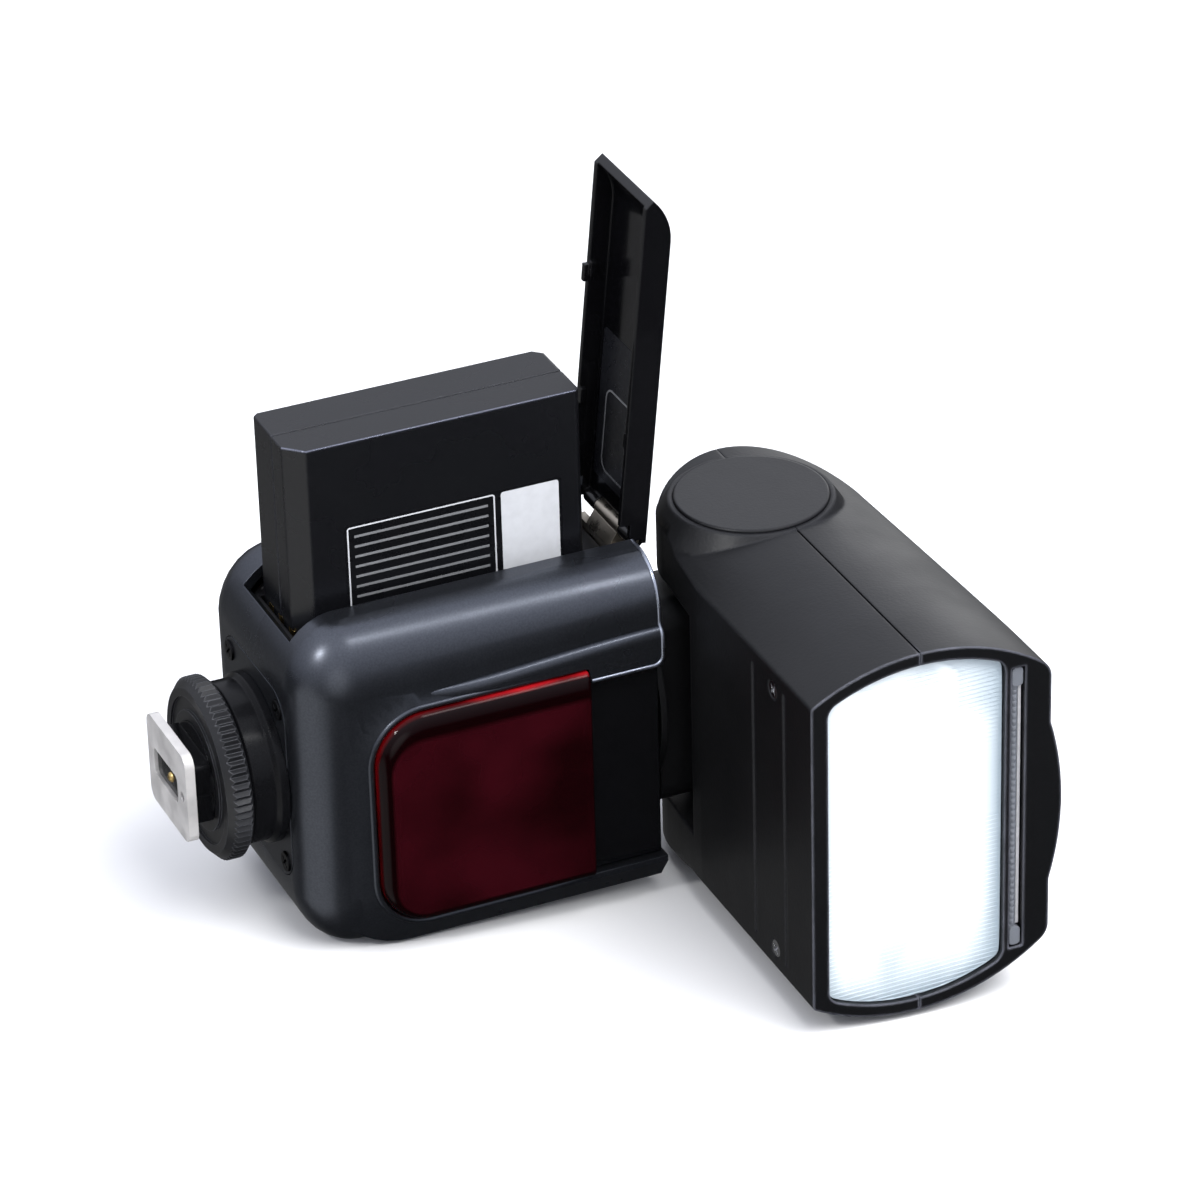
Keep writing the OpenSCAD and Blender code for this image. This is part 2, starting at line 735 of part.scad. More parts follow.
module door_hole() {
    a = door_tip + 2;
    z = rim_z - rim_t;
    polygon([body_curve(-4, a), body_curve(tip_depth(z, a), a), [x_end + 1, z], [x_end + 1, body_hw + 4],
        [body_curve(-4, a).x, body_hw + 4]]);
}

module opened() translate([hinge_x, 0, hinge_z]) rotate([0, door_open, 0]) translate([-hinge_x, 0, -hinge_z])
    children();

module battery_door() color("#0c0c0d") opened() difference() {
    union() {
        from_front(-door_w / 2, door_w / 2) door_skin();
        for (side = [-1, 1]) {
            v = side * (door_w - door_wall_t) / 2;
            from_front(v - door_wall_t / 2, v + door_wall_t / 2) door_wall();
            for (x = hook_x)
                translate([x_base + x, -side * hook_v, body_hw - door_wall_h + hook_t / 2])
                    cube([hook_l, hook_d + 0.2, hook_t], center = true);
        }
        box(latch_at - latch_l / 2, latch_at + latch_l / 2, door_w / 2 - door_wall_t, door_w / 2,
            body_hw - door_wall_h - latch_d, body_hw - door_wall_h + 1);
        for (side = [-1, 1]) translate([hinge_x, side * (knuckle_in + knuckle_out + play) / 2, hinge_z])
            rod_y(-(knuckle_out - knuckle_in - play) / 2, (knuckle_out - knuckle_in - play) / 2, knuckle_r);
    }
    translate([hinge_x, 0, hinge_z]) {
        rod_y(-door_w, door_w, hinge_pin_r + run);
        rod_y(-knuckle_in - play, knuckle_in + play, knuckle_r + play);
    }
    box(hinge_x - hinge_cut, hinge_x + hinge_cut, -door_w, door_w, rim_z - door_wall_h,
        hinge_z - knuckle_r - play);
}

module hinge_bracket() color("#b8babd") difference() {
    union() {
        from_end(x_end - wall, x_end - wall + bracket_t)
            rect(-bracket_hv, rim_z - rim_t, bracket_hv, hinge_z - bracket_drop);
        from_front(-knuckle_in, knuckle_in)
            polygon([[x_end - wall, hinge_z - 5], [x_end - wall + bracket_t, hinge_z - 5],
                [hinge_x + knuckle_r * 0.7, hinge_z - 1.1], [hinge_x, hinge_z],
                [hinge_x - knuckle_r, hinge_z - 0.4], [x_end - wall, hinge_z - bracket_drop]]);
        translate([hinge_x, 0, hinge_z]) rod_y(-knuckle_in, knuckle_in, knuckle_r);
    }
    translate([hinge_x, 0, hinge_z]) rod_y(-door_w, door_w, hinge_pin_r);
}

module door_pin() color("#d0d0d0") translate([hinge_x, 0, hinge_z])
    rod_y(-knuckle_out, knuckle_out, hinge_pin_r);

// Battery pack: two half cases with a seam, chamfered edges, three cells and the end terminals
module batt_outline(g) {
    x0 = batt_x0 + g;
    x1 = batt_x1 - g;
    h = batt_t / 2 - g;
    c = batt_chamfer - g / 2;
    e = batt_edge;
    polygon([[x0 + c, -h], [x1 - e, -h], [x1, -h + e], [x1, h - c / 2], [x1 - c / 2, h], [x0 + e, h],
        [x0, h - e], [x0, -h + c]]);
}

module batt_case() difference() {
    from_side(batt_z0, batt_z1) batt_outline(0);
    from_side(batt_z0 + batt_skin, batt_z1 - batt_skin) batt_outline(batt_skin);
    for (i = [0:contact_count - 1])
        box(batt_x0 - 1, batt_x0 + 0.6, contact_place(i) - contact_w / 2 - fit,
            contact_place(i) + contact_w / 2 + fit, batt_z0 + 2, batt_z0 + 2 + contact_h + fit);
}

module battery_front_case() color("#1e2023") intersection() {
    batt_case();
    box(batt_x0 - 1, batt_x1 + 1, -batt_t, batt_seam_y - batt_seam / 2, batt_z0 - 1, batt_z1 + 1);
}

module battery_rear_case() color("#222428") intersection() {
    batt_case();
    box(batt_x0 - 1, batt_x1 + 1, batt_seam_y + batt_seam / 2, batt_t, batt_z0 - 1, batt_z1 + 1);
}

module battery_cells() color("#8d9298") {
    t = (batt_t - 2 * batt_skin - 0.2) / cell_count;
    y0 = -batt_t / 2 + batt_skin;
    for (i = [0:cell_count - 1])
        box(batt_x0 + 5, batt_x1 - 5, y0 + 0.1 + i * t, y0 + (i + 1) * t, batt_z0 + batt_skin, batt_z1 - 4);
}

module battery_terminals() color("gold")
    for (i = [0:contact_count - 1])
        box(batt_x0 + 0.2, batt_x0 + 0.6, contact_place(i) - contact_w / 2, contact_place(i) + contact_w / 2,
            batt_z0 + 2 + fit, batt_z0 + 2 + contact_h);

// Swivel and neck
module swivel_bearing() color("#2a2b2d") difference() {
    rod_x(x_end - bearing_t, x_end, bearing_r);
    rod_x(x_end - bearing_t - 1, x_end + 1, swivel_r + run);
}

module swivel_disc() color("#151617") difference() {
    union() {
        rod_x(x_disc, x_neck, disc_r);
        rod_x(x_end - bearing_t - clip_t - 0.4, x_disc, swivel_r);
    }
    rod_x(x_end - bearing_t - 5, x_neck + 1, cable_r);
}

module swivel_clip() color("#a8aaad") difference() {
    rod_x(x_end - bearing_t - clip_t - 0.2, x_end - bearing_t - 0.2, clip_r);
    rod_x(x_end - bearing_t - 5, x_end, swivel_r);
}

module neck_block() color("#121314") difference() {
    union() {
        translate([pivot_x, -pivot_v, 0]) rod_z(-barrel_hl, barrel_hl, barrel_r);
        from_end(x_neck, pivot_x) rounded_at(-stem_v1, -stem_hz, -stem_v0, stem_hz, stem_r);
    }
    translate([pivot_x, -pivot_v, 0]) for (side = [-1, 1])
        translate([0, 0, side * barrel_hl]) rod_z(-tilt_pin_in, tilt_pin_in, tilt_pin_r);
    translate([0, -neck_cable_v, 0]) rod_x(x_neck - 1, pivot_x - tilt_pin_r, neck_cable_r);
}

module tilt_pins() color("#b0b2b5") translate([pivot_x, -pivot_v, 0])
    for (side = [-1, 1]) {
        z = side * (barrel_hl - tilt_pin_in + tilt_pin_z) / 2;
        half = (tilt_pin_z - barrel_hl + tilt_pin_in) / 2;
        translate([0, 0, z]) rod_z(-half, half, tilt_pin_r);
    }

// Head: a side view and a front view cut each other, g inside the outer face
module head_side(g) {
    translate([pivot_x, -pivot_v]) circle(ear_low_r - g);
    translate([ear_top_x, -ear_top_v]) circle(ear_top_r - g);
    polygon([[pivot_x - ear_low_r + g, -pivot_v], [head_x0 + g, -pivot_v - 18], [head_x0 + g, -head_v],
        [head_x1 - g, -head_v], [ear_top_x + ear_top_r - g, -ear_top_v]]);
}

// A flat-ended outline with bulged sides of radius r and rounded corners of radius c0 and c1 at its two ends
function corner_place(x, r, c) = [x, sqrt(pow(r - c, 2) - pow(x - seam_x, 2)) - side_off];
function corner_touch(p, r, c) = [p.x + c * (p.x - seam_x) / (r - c), p.y + c * (p.y + side_off) / (r - c)];

module bulged(x0, x1, r, c0, c1) {
    p0 = corner_place(x0 + c0, r, c0);
    p1 = corner_place(x1 - c1, r, c1);
    t0 = corner_touch(p0, r, c0);
    t1 = corner_touch(p1, r, c1);
    half = [[x0, p0.y], t0, [t0.x, head_hw], [t1.x, head_hw], t1, [x1, p1.y]];
    intersection() {
        translate([seam_x, -side_off]) circle(r);
        translate([seam_x, side_off]) circle(r);
        polygon(concat(half, reversed([for (p = half) [p.x, -p.y]])));
    }
    for (side = [-1, 1]) {
        translate([p0.x, side * p0.y]) circle(c0);
        translate([p1.x, side * p1.y]) circle(c1);
    }
}

module head_section(g) bulged(head_x0 + g, head_x1 - g, side_r - g, 0.8, corner_r - g);

module lens_outline(g) bulged(lens_x0 - g, lens_x1 + g, side_r - lens_in + g, lens_r + g, lens_r + g);

module panel_outline(g)
    rect(panel_x - g, -panel_hw - g, panel_x + panel_stack + g, panel_hw + g);

module head_skin() difference() {
    union() {
        intersection() {
            from_side(-head_hw - 1, head_hw + 1) head_side(0);
            from_front(-30, head_v) head_section(0);
        }
        intersection() {
            from_side(-boss_z, boss_z) head_side(0);
            translate([pivot_x, -pivot_v, 0]) for (side = [-1, 1]) scale([1, 1, side])
                translate([0, 0, boss_z - boss_l])
                    cylinder(h = boss_l, r1 = boss_r + boss_flare, r2 = boss_r);
        }
        thumb_lip();
    }
    intersection() {
        from_side(-head_hw, head_hw)
            polygon([[head_x0 + head_wall, -cave_v0], [head_x0 + head_wall, -cave_v1],
                [head_x1 - head_wall - 0.4, -cave_v1], [ear_top_x + ear_top_r - head_wall + 1.2, -cave_v0]]);
        from_front(cave_v0, cave_v1) head_section(head_wall);
    }
    from_front(cave_v1 - 1, head_v + 1) lens_outline(fit);
    from_front(cave_v1 - 1, head_v + 20) panel_outline(play);
    from_side(-ear_gap, ear_gap) {
        translate([pivot_x, -pivot_v]) circle(slot_r);
        rect(x_end - 10, -slot_front, pivot_x, 40);
        rect(x_end - 10, -pivot_v, pivot_x + slot_r, 40);
    }
    translate([pivot_x, -pivot_v, 0]) {
        rod_z(-tilt_pin_z - 1, tilt_pin_z + 1, tilt_pin_r + run);
        for (side = [-1, 1]) translate([0, 0, side * (boss_z + 5 - cap_sink)])
            rod_z(-5, 5, cap_r + fit);
    }
    for (side = [-1, 1]) translate([0, -head_screw_v, side * head_screw_z])
        rod_x(head_x0 - 1, head_x0 + 1.2, head_screw_r + fit);
    for (v = groove_v)
        box(head_x0 - 1, head_x0 + groove_d, -v - groove_w / 2, -v + groove_w / 2, -groove_hz, groove_hz);
}

module thumb_lip() intersection() {
    from_front(head_v - lip_l, head_v)
        translate([head_x1 + lip_h - lip_r, 0]) circle(lip_r);
    from_front(head_v - lip_l, head_v)
        rect(head_x1 - 3, -lip_hw, head_x1 + lip_h, lip_hw);
}

module head_lower_shell() color("#141517") intersection() {
    head_skin();
    box(x_end - 5, seam_x - seam_gap / 2, -head_v - 1, 60, -head_hw - 5, head_hw + 5);
}

module head_upper_shell() color("#141517") intersection() {
    head_skin();
    box(seam_x + seam_gap / 2, head_x1 + 20, -head_v - 1, 60, -head_hw - 5, head_hw + 5);
}

module pivot_cap(side) color("#1b1c1f")
    translate([pivot_x, -pivot_v, side * (boss_z + (cap_proud - cap_sink) / 2)])
        rod_z(-(cap_sink + cap_proud) / 2, (cap_sink + cap_proud) / 2, cap_r);

// Lens: its grooved face is a saw-toothed profile, flat in the middle, whose facets fall away outwards
module lens_profile() {
    half = concat([[-lens_face, lens_flat]], [for (i = [1:lens_teeth]) let (z = lens_flat + i * lens_pitch)
        each [[lens_tooth - lens_face, z], [-lens_face, z]]]);
    z_end = lens_flat + lens_teeth * lens_pitch;
    polygon(concat(half, [[1 - lens_back, z_end], [1 - lens_back, -z_end]],
        reversed([for (p = half) [p.x, -p.y]])));
}

module fresnel_lens() color("#e6eef5", 0.6) {
    intersection() {
        from_front(lens_back, lens_face) lens_outline(0);
        from_end(lens_x0 - 1, lens_x1 + 1) lens_profile();
    }
    from_front(lens_back, cave_v1 - fit) lens_outline(lens_rim);
}

// Wide panel with a knob at each end of its edge; the bounce card runs between the knobs
module wide_panel() color("#dfe8ee", 0.6) {
    from_front(head_v - panel_sunk - panel_l, head_v - panel_sunk)
        rect(panel_x, -panel_hw, panel_x + panel_t, panel_hw);
    for (side = [-1, 1])
        from_front(head_v - panel_sunk - knob_d, head_v - panel_sunk + knob_proud)
            translate([panel_x + panel_stack / 2, side * (panel_hw - knob_l / 2)])
                rounded(panel_stack, knob_l, knob_r);
}

module bounce_card() color("white") from_front(head_v - card_sunk - panel_l, head_v - card_sunk)
    rect(panel_x + panel_t + panel_gap, -card_hw, panel_x + panel_stack, card_hw);

// Zoom assembly: parabolic trough, flash tube, carriage on two rods, lead screw and motor
function trough(g) = [for (i = [-8:8]) let (h = (mirror_hh + g) * i / 8)
    [mirror_x + h, -(mirror_v - mirror_d - g * 0.8 + mirror_d * pow(i / 8, 2) * (1 + g * 0.8 / mirror_d))]];

module reflector() color("#d9dde0") difference() {
    from_side(-mirror_hw, mirror_hw) polygon(trough(mirror_t));
    from_side(-mirror_hw + mirror_t, mirror_hw - mirror_t) polygon(trough(0));
    translate([mirror_x, -tube_v, 0]) rod_z(-tube_hw, tube_hw, tube_r + fit);
}

module flash_tube() color("#f4f8ff", 0.7) translate([mirror_x, -tube_v, 0]) rod_z(-tube_hw, tube_hw, tube_r);

module zoom_carriage() color("#26282b") difference() {
    box(carriage_x - carriage_hh, mirror_x - mirror_hh - mirror_t - 0.1, -carriage_v - carriage_l,
        -carriage_v, -mirror_hw, mirror_hw);
    translate([carriage_x, 0, 0]) rod_y(-head_v, 0, screw_r + run);
    for (side = [-1, 1]) translate([carriage_x, 0, side * rod_z_out]) rod_y(-head_v, 0, rod_r + run);
}

module guide_rods() color("#c0c2c5")
    for (side = [-1, 1]) translate([carriage_x, 0, side * rod_z_out]) rod_y(-cave_v1 + 4, -cave_v0, rod_r);

module zoom_screw() color("#c0c2c5") translate([carriage_x, 0, 0])
    rod_y(-cave_v1 + 4, -cave_v0 - motor_l - fit, screw_r);

module zoom_motor() color("#8a8c8f") translate([carriage_x, 0, 0])
    rod_y(-cave_v0 - motor_l, -cave_v0, motor_r);

module trigger_board() color("#14442a")
    box(trigger_x0, trigger_x1, -cave_v0 - 0.1 - trigger_t, -cave_v0 - 0.1, -trigger_hz, trigger_hz);

module head_screws() color("#c8c8c8")
    for (side = [-1, 1]) translate([head_x0, -head_screw_v, side * head_screw_z]) difference() {
        rod_x(0.1, 1.2, head_screw_r);
        for (turn = [45, 135]) rotate([turn, 0, 0]) box(-1, 0.5, -0.25, 0.25, -1.1, 1.1);
    }

foot_plate();
foot_block();
lock_ring();
foot_collar();
locking_pin();
centre_contact();
base_plate();
base_screws();
front_shell();
rear_shell();
red_window();
front_strip();
focus_lamp();
slave_sensor();
battery_bay();
bay_contacts();
main_board();
flash_capacitors();
lcd_window();
lcd_module();
function_key(0);  // function_key_1
function_key(1);  // function_key_2
function_key(2);  // function_key_3
function_key(3);  // function_key_4
select_dial();
set_button();
pilot_button();
power_switch();
port_cover();
port_block();
swivel_bearing();
hinge_bracket();
door_pin();
battery_door();
battery_front_case();
battery_rear_case();
battery_cells();
battery_terminals();
swivel_disc();
swivel_clip();
neck_block();
tilt_pins();
head_lower_shell();
head_upper_shell();
pivot_cap(1);  // pivot_cap_upper
pivot_cap(-1);  // pivot_cap_lower
fresnel_lens();
wide_panel();
bounce_card();
reflector();
flash_tube();
zoom_carriage();
guide_rods();
zoom_screw();
zoom_motor();
trigger_board();
head_screws();
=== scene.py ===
"""Looks of a shoe-mount speedlight that lies on its side with its battery half drawn out.

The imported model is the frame: every piece keeps the place that it has there. Each operator below finishes one
group of pieces, and main() calls them in order.
"""

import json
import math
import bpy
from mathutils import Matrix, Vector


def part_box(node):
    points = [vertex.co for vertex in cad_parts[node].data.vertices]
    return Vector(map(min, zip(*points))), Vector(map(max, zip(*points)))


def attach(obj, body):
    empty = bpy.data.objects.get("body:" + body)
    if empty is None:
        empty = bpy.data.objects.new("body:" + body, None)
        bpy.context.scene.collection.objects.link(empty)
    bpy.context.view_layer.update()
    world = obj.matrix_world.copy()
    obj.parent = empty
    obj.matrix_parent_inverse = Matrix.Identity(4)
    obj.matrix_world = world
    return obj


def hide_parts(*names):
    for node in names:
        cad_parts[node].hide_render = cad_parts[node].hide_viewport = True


bl_info = {
    "name": "Speedlight flash looks",
    "version": (1, 0, 0),
    "blender": (4, 5, 0),
    "location": "View3D > Sidebar > Flash",
    "description": "Finishes the pieces of a speedlight flash and sets up its studio",
    "category": "Object",
}

import bpy
import numpy as np
from bpy.props import FloatProperty, FloatVectorProperty, IntProperty, PointerProperty
from mathutils import Matrix, Vector

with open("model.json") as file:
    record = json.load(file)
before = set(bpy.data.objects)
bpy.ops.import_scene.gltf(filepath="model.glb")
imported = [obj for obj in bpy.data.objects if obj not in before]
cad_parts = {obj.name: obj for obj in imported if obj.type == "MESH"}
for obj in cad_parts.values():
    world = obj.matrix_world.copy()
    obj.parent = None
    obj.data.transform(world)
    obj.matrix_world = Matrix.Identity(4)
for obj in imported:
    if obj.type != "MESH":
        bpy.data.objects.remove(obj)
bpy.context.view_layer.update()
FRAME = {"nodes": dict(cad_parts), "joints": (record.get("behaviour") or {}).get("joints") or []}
NODES = FRAME["nodes"]
MM = 0.001
QUARTER = math.pi / 2
ACRYLIC_IOR = 1.49
SENSOR = 36.0  # width of the camera's sensor, in millimetres
EVEN = (1.0, 1.0, 1.0)  # stretch of a pattern that runs no one way
SWELL_START = 40 * MM  # where the front shell's swell starts along X
SWELL_BROW = 2.2 * MM  # height of its rounded part
SKY_TINT = (0.91, 0.94, 1.05)
# Pale cards in the surround: where each one is seen, the cosine at its edge, and its brightness
CARDS = (
    ((-0.80, -0.33, -0.50), 0.84, 0.65),
    ((-0.34, 0.80, -0.50), 0.80, 0.12),
    ((-0.24, -0.95, 0.08), 0.93, 0.8),
)


def colour_property(name, description, default):
    """A colour that the sidebar shows as a swatch."""
    return FloatVectorProperty(
        name=name, description=description, default=default, subtype="COLOR", size=3, min=0.0, max=1.0
    )


def length_property(name, description, default):
    """A length in metres."""
    return FloatProperty(name=name, description=description, default=default, unit="LENGTH")


def angle_property(name, description, degrees):
    """An angle, given in degrees."""
    return FloatProperty(name=name, description=description, default=math.radians(degrees), subtype="ANGLE")


def power_property(name, light, watts):
    """Power of a light."""
    return FloatProperty(name=name, description=f"Power of {light}, in watts", default=watts, min=0.0)


class FlashFinishes(bpy.types.PropertyGroup):
    """Colours of the mouldings and metals."""

    shell: colour_property("Shell", "Satin metallic paint of the body's shells", (0.092, 0.099, 0.116))
    head: colour_property("Head", "Grained plastic of the head and its caps", (0.0030, 0.0031, 0.0038))
    battery: colour_property("Battery", "Grained plastic of the battery pack", (0.0045, 0.0047, 0.0058))
    gloss: colour_property("Gloss", "Glossy plastic of the door and the front strip", (0.0026, 0.0026, 0.0032))
    window: colour_property("Window", "Tint of the front window", (0.015, 0.0010, 0.0022))
    # Painted glow: red laid on the window's rim, with painted highlight streaks on its brow
    window_edge_painted_glow: colour_property("Window glow", "Red of the window's edges, where light gets in", (0.36, 0.006, 0.010))
    foot: colour_property("Foot", "Bare metal of the shoe foot", (0.78, 0.76, 0.74))
    lens: colour_property("Lens", "Frosted face of the lens", (0.70, 0.73, 0.75))
    # Painted shade: the lens's border colour, where its painted glow fades
    lens_shaded_border: colour_property("Lens edge", "Bluish border of the lens, where the glow fades", (0.36, 0.43, 0.48))
    display: colour_property("Display", "Reflective layer of the rear display", (0.10, 0.12, 0.095))
    mark: colour_property("Marks", "Printed rules and marks", (0.50, 0.51, 0.53))


class FlashDetails(bpy.types.PropertyGroup):
    """Sizes of the fine forms that ride on the solids."""

    groove_pitch: length_property("Groove pitch", "Distance between two grooves of the lens", 0.9 * MM)
    groove_depth: length_property("Groove depth", "Depth of a groove of the lens", 0.3 * MM)
    label_lift: length_property("Label lift", "Height of the label above the battery", 0.08 * MM)
    label_rules: IntProperty(name="Label rules", description="Blank rules on the label", default=7, min=1, max=12)
    edge_round: length_property("Edge round", "Radius seen on a moulding's edges", 0.45 * MM)
    lens_bulge: length_property("Lens bulge", "Radius of the lens's bulged ends", 39.0 * MM)
    rib_pitch: length_property("Rib pitch", "Distance between two ribs of the panel's grip", 1.3 * MM)
    dial_ticks: IntProperty(name="Dial ticks", description="Marks round the select dial", default=24, min=4, max=60)


class FlashStudio(bpy.types.PropertyGroup):
    """Camera, floor and lights."""

    azimuth: angle_property("Azimuth", "Camera's turn about Z", -23.21)
    elevation: angle_property("Elevation", "Camera's height above the horizon", 30.08)
    roll: angle_property("Roll", "Camera's turn about its own axis", -1.63)
    target: FloatVectorProperty(
        name="Target", description="Point that the camera looks at", default=(0.081, -0.018, 0.018), subtype="XYZ"
    )
    distance: length_property("Distance", "From the target to the camera", 1.09205)
    lens: FloatProperty(name="Lens", description="Focal length for the sensor, in millimetres", default=175.97)
    shift: FloatVectorProperty(name="Shift", description="Lens shift across and up", default=(-0.00314, 0.0331), size=2)
    key_power: power_property("Key", "the overhead soft box", 14.0)
    back_power: power_property("Back", "the soft box behind", 1.5)
    corner_power: power_property("Corner", "the small light at the front left", 2.6)
    end_power: power_property("End", "the strip light over the shoulder", 0.8)
    sky: FloatVectorProperty(
        name="Surround", description="Brightness below, at and above the horizon", default=(0.03, 0.36, 1.15), min=0.0
    )


# Meshes


def mesh_object(name, vertices, faces, uvs=None):
    """A piece from an array of points and a list of faces, with one UV pair for each point."""
    mesh = bpy.data.meshes.new(name)
    mesh.from_pydata(vertices.tolist(), [], faces)
    if uvs is not None:
        corners = np.empty(len(mesh.loops), np.int32)
        mesh.loops.foreach_get("vertex_index", corners)
        layer = mesh.uv_layers.new(name="UVMap")
        layer.data.foreach_set("uv", uvs[corners].astype(np.float32).ravel())
    mesh.update()
    piece = bpy.data.objects.new(name, mesh)
    bpy.context.scene.collection.objects.link(piece)
    return piece


def points(x, y, z):
    """Points from three arrays or numbers that broadcast together."""
    return np.stack(np.broadcast_arrays(x, y, z), -1)


def looped(name, grid, uvs=None, filled=True):
    """A piece from a grid of points whose rows are closed loops: quads join each row to the next one.

    If it is filled, the first and the last loop are closed by a face."""
    rows, columns = grid.shape[:2]
    r, c = np.meshgrid(np.arange(rows - 1), np.arange(columns), indexing="ij")
    d = (c + 1) % columns
    quads = np.stack([r * columns + c, r * columns + d, (r + 1) * columns + d, (r + 1) * columns + c], -1)
    faces = quads.reshape(-1, 4).tolist()
    if filled:
        faces += [list(range(columns))[::-1], list(range((rows - 1) * columns, rows * columns))]
    return mesh_object(name, grid.reshape(-1, 3), faces, uvs)


def backed(face, depth):
    """Closes the rows of a grid of points by a flat back at the depth y."""
    back = face[:, ::-1].copy()
    back[..., 1] = depth
    return np.concatenate([face, back], 1)


def rounded_path(x0, x1, z0, z1, radius, steps=7):
    """Points of a rounded rectangle seen from the front, and their outward normals.

    Each corner is a quarter circle, centre + radius (cos a, sin a), and the straight sides join them. The radius is
    one for all corners, or four, from the upper right one round to the left."""
    turn = np.linspace(0.0, QUARTER, steps)
    upper_right, upper_left, lower_left, lower_right = np.broadcast_to(radius, 4)
    angle = (np.arange(4)[:, None] * QUARTER + turn).ravel()
    cx = np.repeat([x1 - upper_right, x0 + upper_left, x0 + lower_left, x1 - lower_right], steps)
    cz = np.repeat([z1 - upper_right, z1 - upper_left, z0 + lower_left, z0 + lower_right], steps)
    normal = np.column_stack([np.cos(angle), np.sin(angle)])
    return np.column_stack([cx, cz]) + np.repeat(np.broadcast_to(radius, 4), steps)[:, None] * normal, normal


def carried(name, path, normal, profile, filled=False):
    """A profile carried round a path in the XZ plane: point + profile[:, 0] normal, at the depth y = profile[:, 1].

    A closed profile gives a ring; an open one that is filled gives a plate."""
    flat = path[None] + profile[:, None, :1] * normal[None]
    return looped(name, points(flat[..., 0], profile[:, 1:], flat[..., 1]), filled=filled)


def raised_plate(name, x0, x1, z0, z1, radius, face, height):
    """A plate with rounded corners and an eased edge on a face that looks along Y; a negative height rises forwards.

    profile: from just under the face up to 0.6 height, then in by 0.2 |height| to the full height."""
    path, normal = rounded_path(x0, x1, z0, z1, radius)
    sunk = -math.copysign(0.05 * MM, height)
    rise = np.array([(0.0, sunk), (0.0, 0.6 * height), (-0.2 * abs(height), height)]) + (0.0, face)
    return carried(name, path, normal, rise if height < 0 else rise[::-1], filled=True)


def flat_ring(name, x0, x1, z0, z1, radius, wide, face, height):
    """A flat ring on a face that looks along Y: a rectangle of wide by height carried round a rounded outline."""
    path, normal = rounded_path(x0, x1, z0, z1, radius)
    loop = np.array([(0.0, 0.0), (0.0, height), (-wide, height), (-wide, 0.0), (0.0, 0.0)]) + (0.0, face)
    return carried(name, path, normal, loop if height < 0 else loop[::-1])


def lean_on_door(piece):
    """Takes a piece made against the plane y = 0 to the open door's inner face.

    (x, y, z) goes to (face(z) + y, -x, z), where face(z) = hinge x - inset / cos(lean) + tan(lean) (z - hinge z)."""
    swing = next(joint for joint in FRAME["joints"] if joint["name"] == "door_swing")
    hinge_x, _, hinge_z = swing["pos_m"]
    lean = math.radians(-90.0 - swing["range_deg"][0])
    inset = 0.2 * MM
    upright = np.empty(3 * len(piece.data.vertices), np.float32)
    piece.data.vertices.foreach_get("co", upright)
    x, y, z = upright.reshape(-1, 3).T
    face = hinge_x - inset / math.cos(lean) + math.tan(lean) * (z - hinge_z)
    piece.data.vertices.foreach_set("co", points(face + y, -x, z).astype(np.float32).ravel())
    piece.data.update()


def block_set(name, centres, size, turns):
    """Like blocks in one mesh: corner = centre + size / 2 (±1, ±1, ±1), turned about Y by each block's angle."""
    signs = np.array([(x, y, z) for x in (-1, 1) for y in (-1, 1) for z in (-1, 1)], float)
    corner = signs * np.asarray(size) / 2
    cos, sin = np.cos(turns)[:, None], np.sin(turns)[:, None]
    x = cos * corner[:, 0] + sin * corner[:, 2]
    z = cos * corner[:, 2] - sin * corner[:, 0]
    corners = points(x, corner[:, 1], z) + centres[:, None]
    quads = np.array([(0, 1, 3, 2), (4, 6, 7, 5), (0, 4, 5, 1), (2, 3, 7, 6), (0, 2, 6, 4), (1, 5, 7, 3)])
    faces = (quads[None] + 8 * np.arange(len(centres))[:, None, None]).reshape(-1, 4).tolist()
    return mesh_object(name, corners.reshape(-1, 3), faces)


def curved_window():
    """Window: its outline is drawn in and raised along a quarter ellipse to the loop of its face.

    point = outer + (inner - outer) (1 - cos a), y = edge - rise sin a, with a from 0 to 90 degrees. A pocket is cut
    out behind. In the UV map u runs round the loop and v from the edge, 0, to the face, 1."""
    low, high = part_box("red_window")
    rise, skin, corner, end, steps = 2.6 * MM, 1.6 * MM, 10.0 * MM, 0.5 * MM, 10
    outer = rounded_path(low.x, high.x, low.z, high.z, (end, corner, corner, end), steps)[0]
    # How far the face is drawn in at the shoe end, the strip, the foot and the brow, and its own corner
    shoe, strip, foot, brow, turn = 2.8 * MM, 0.7 * MM, 2.4 * MM, 5.4 * MM, 5.9 * MM
    inner = rounded_path(low.x + shoe, high.x - strip, low.z + foot, high.z - brow, (end, turn, turn, end), steps)[0]
    # Walls round the pocket at the strip, the brow and elsewhere, and its corner
    wall, brow_wall, wide_wall, pocket_corner = 1.6 * MM, 6 * MM, 4 * MM, 2 * MM
    pocket = rounded_path(
        low.x + wide_wall, high.x - wall, low.z + wide_wall, high.z - brow_wall, pocket_corner, steps
    )[0]
    angle = np.linspace(0.0, QUARTER, 13)
    bevel = outer + (inner - outer) * (1.0 - np.cos(angle))[:, None, None]
    flat = np.concatenate([[pocket, pocket, outer], bevel])
    depth = np.concatenate([[low.y + skin, high.y, high.y], low.y + rise * (1.0 - np.sin(angle))])
    u, v = np.arange(len(outer)) / len(outer), np.concatenate([np.zeros(3), angle / QUARTER])
    uvs = np.stack(np.meshgrid(u, v), -1).reshape(-1, 2)
    return looped("curved_window", points(flat[..., 0], depth[:, None], flat[..., 1]), uvs)


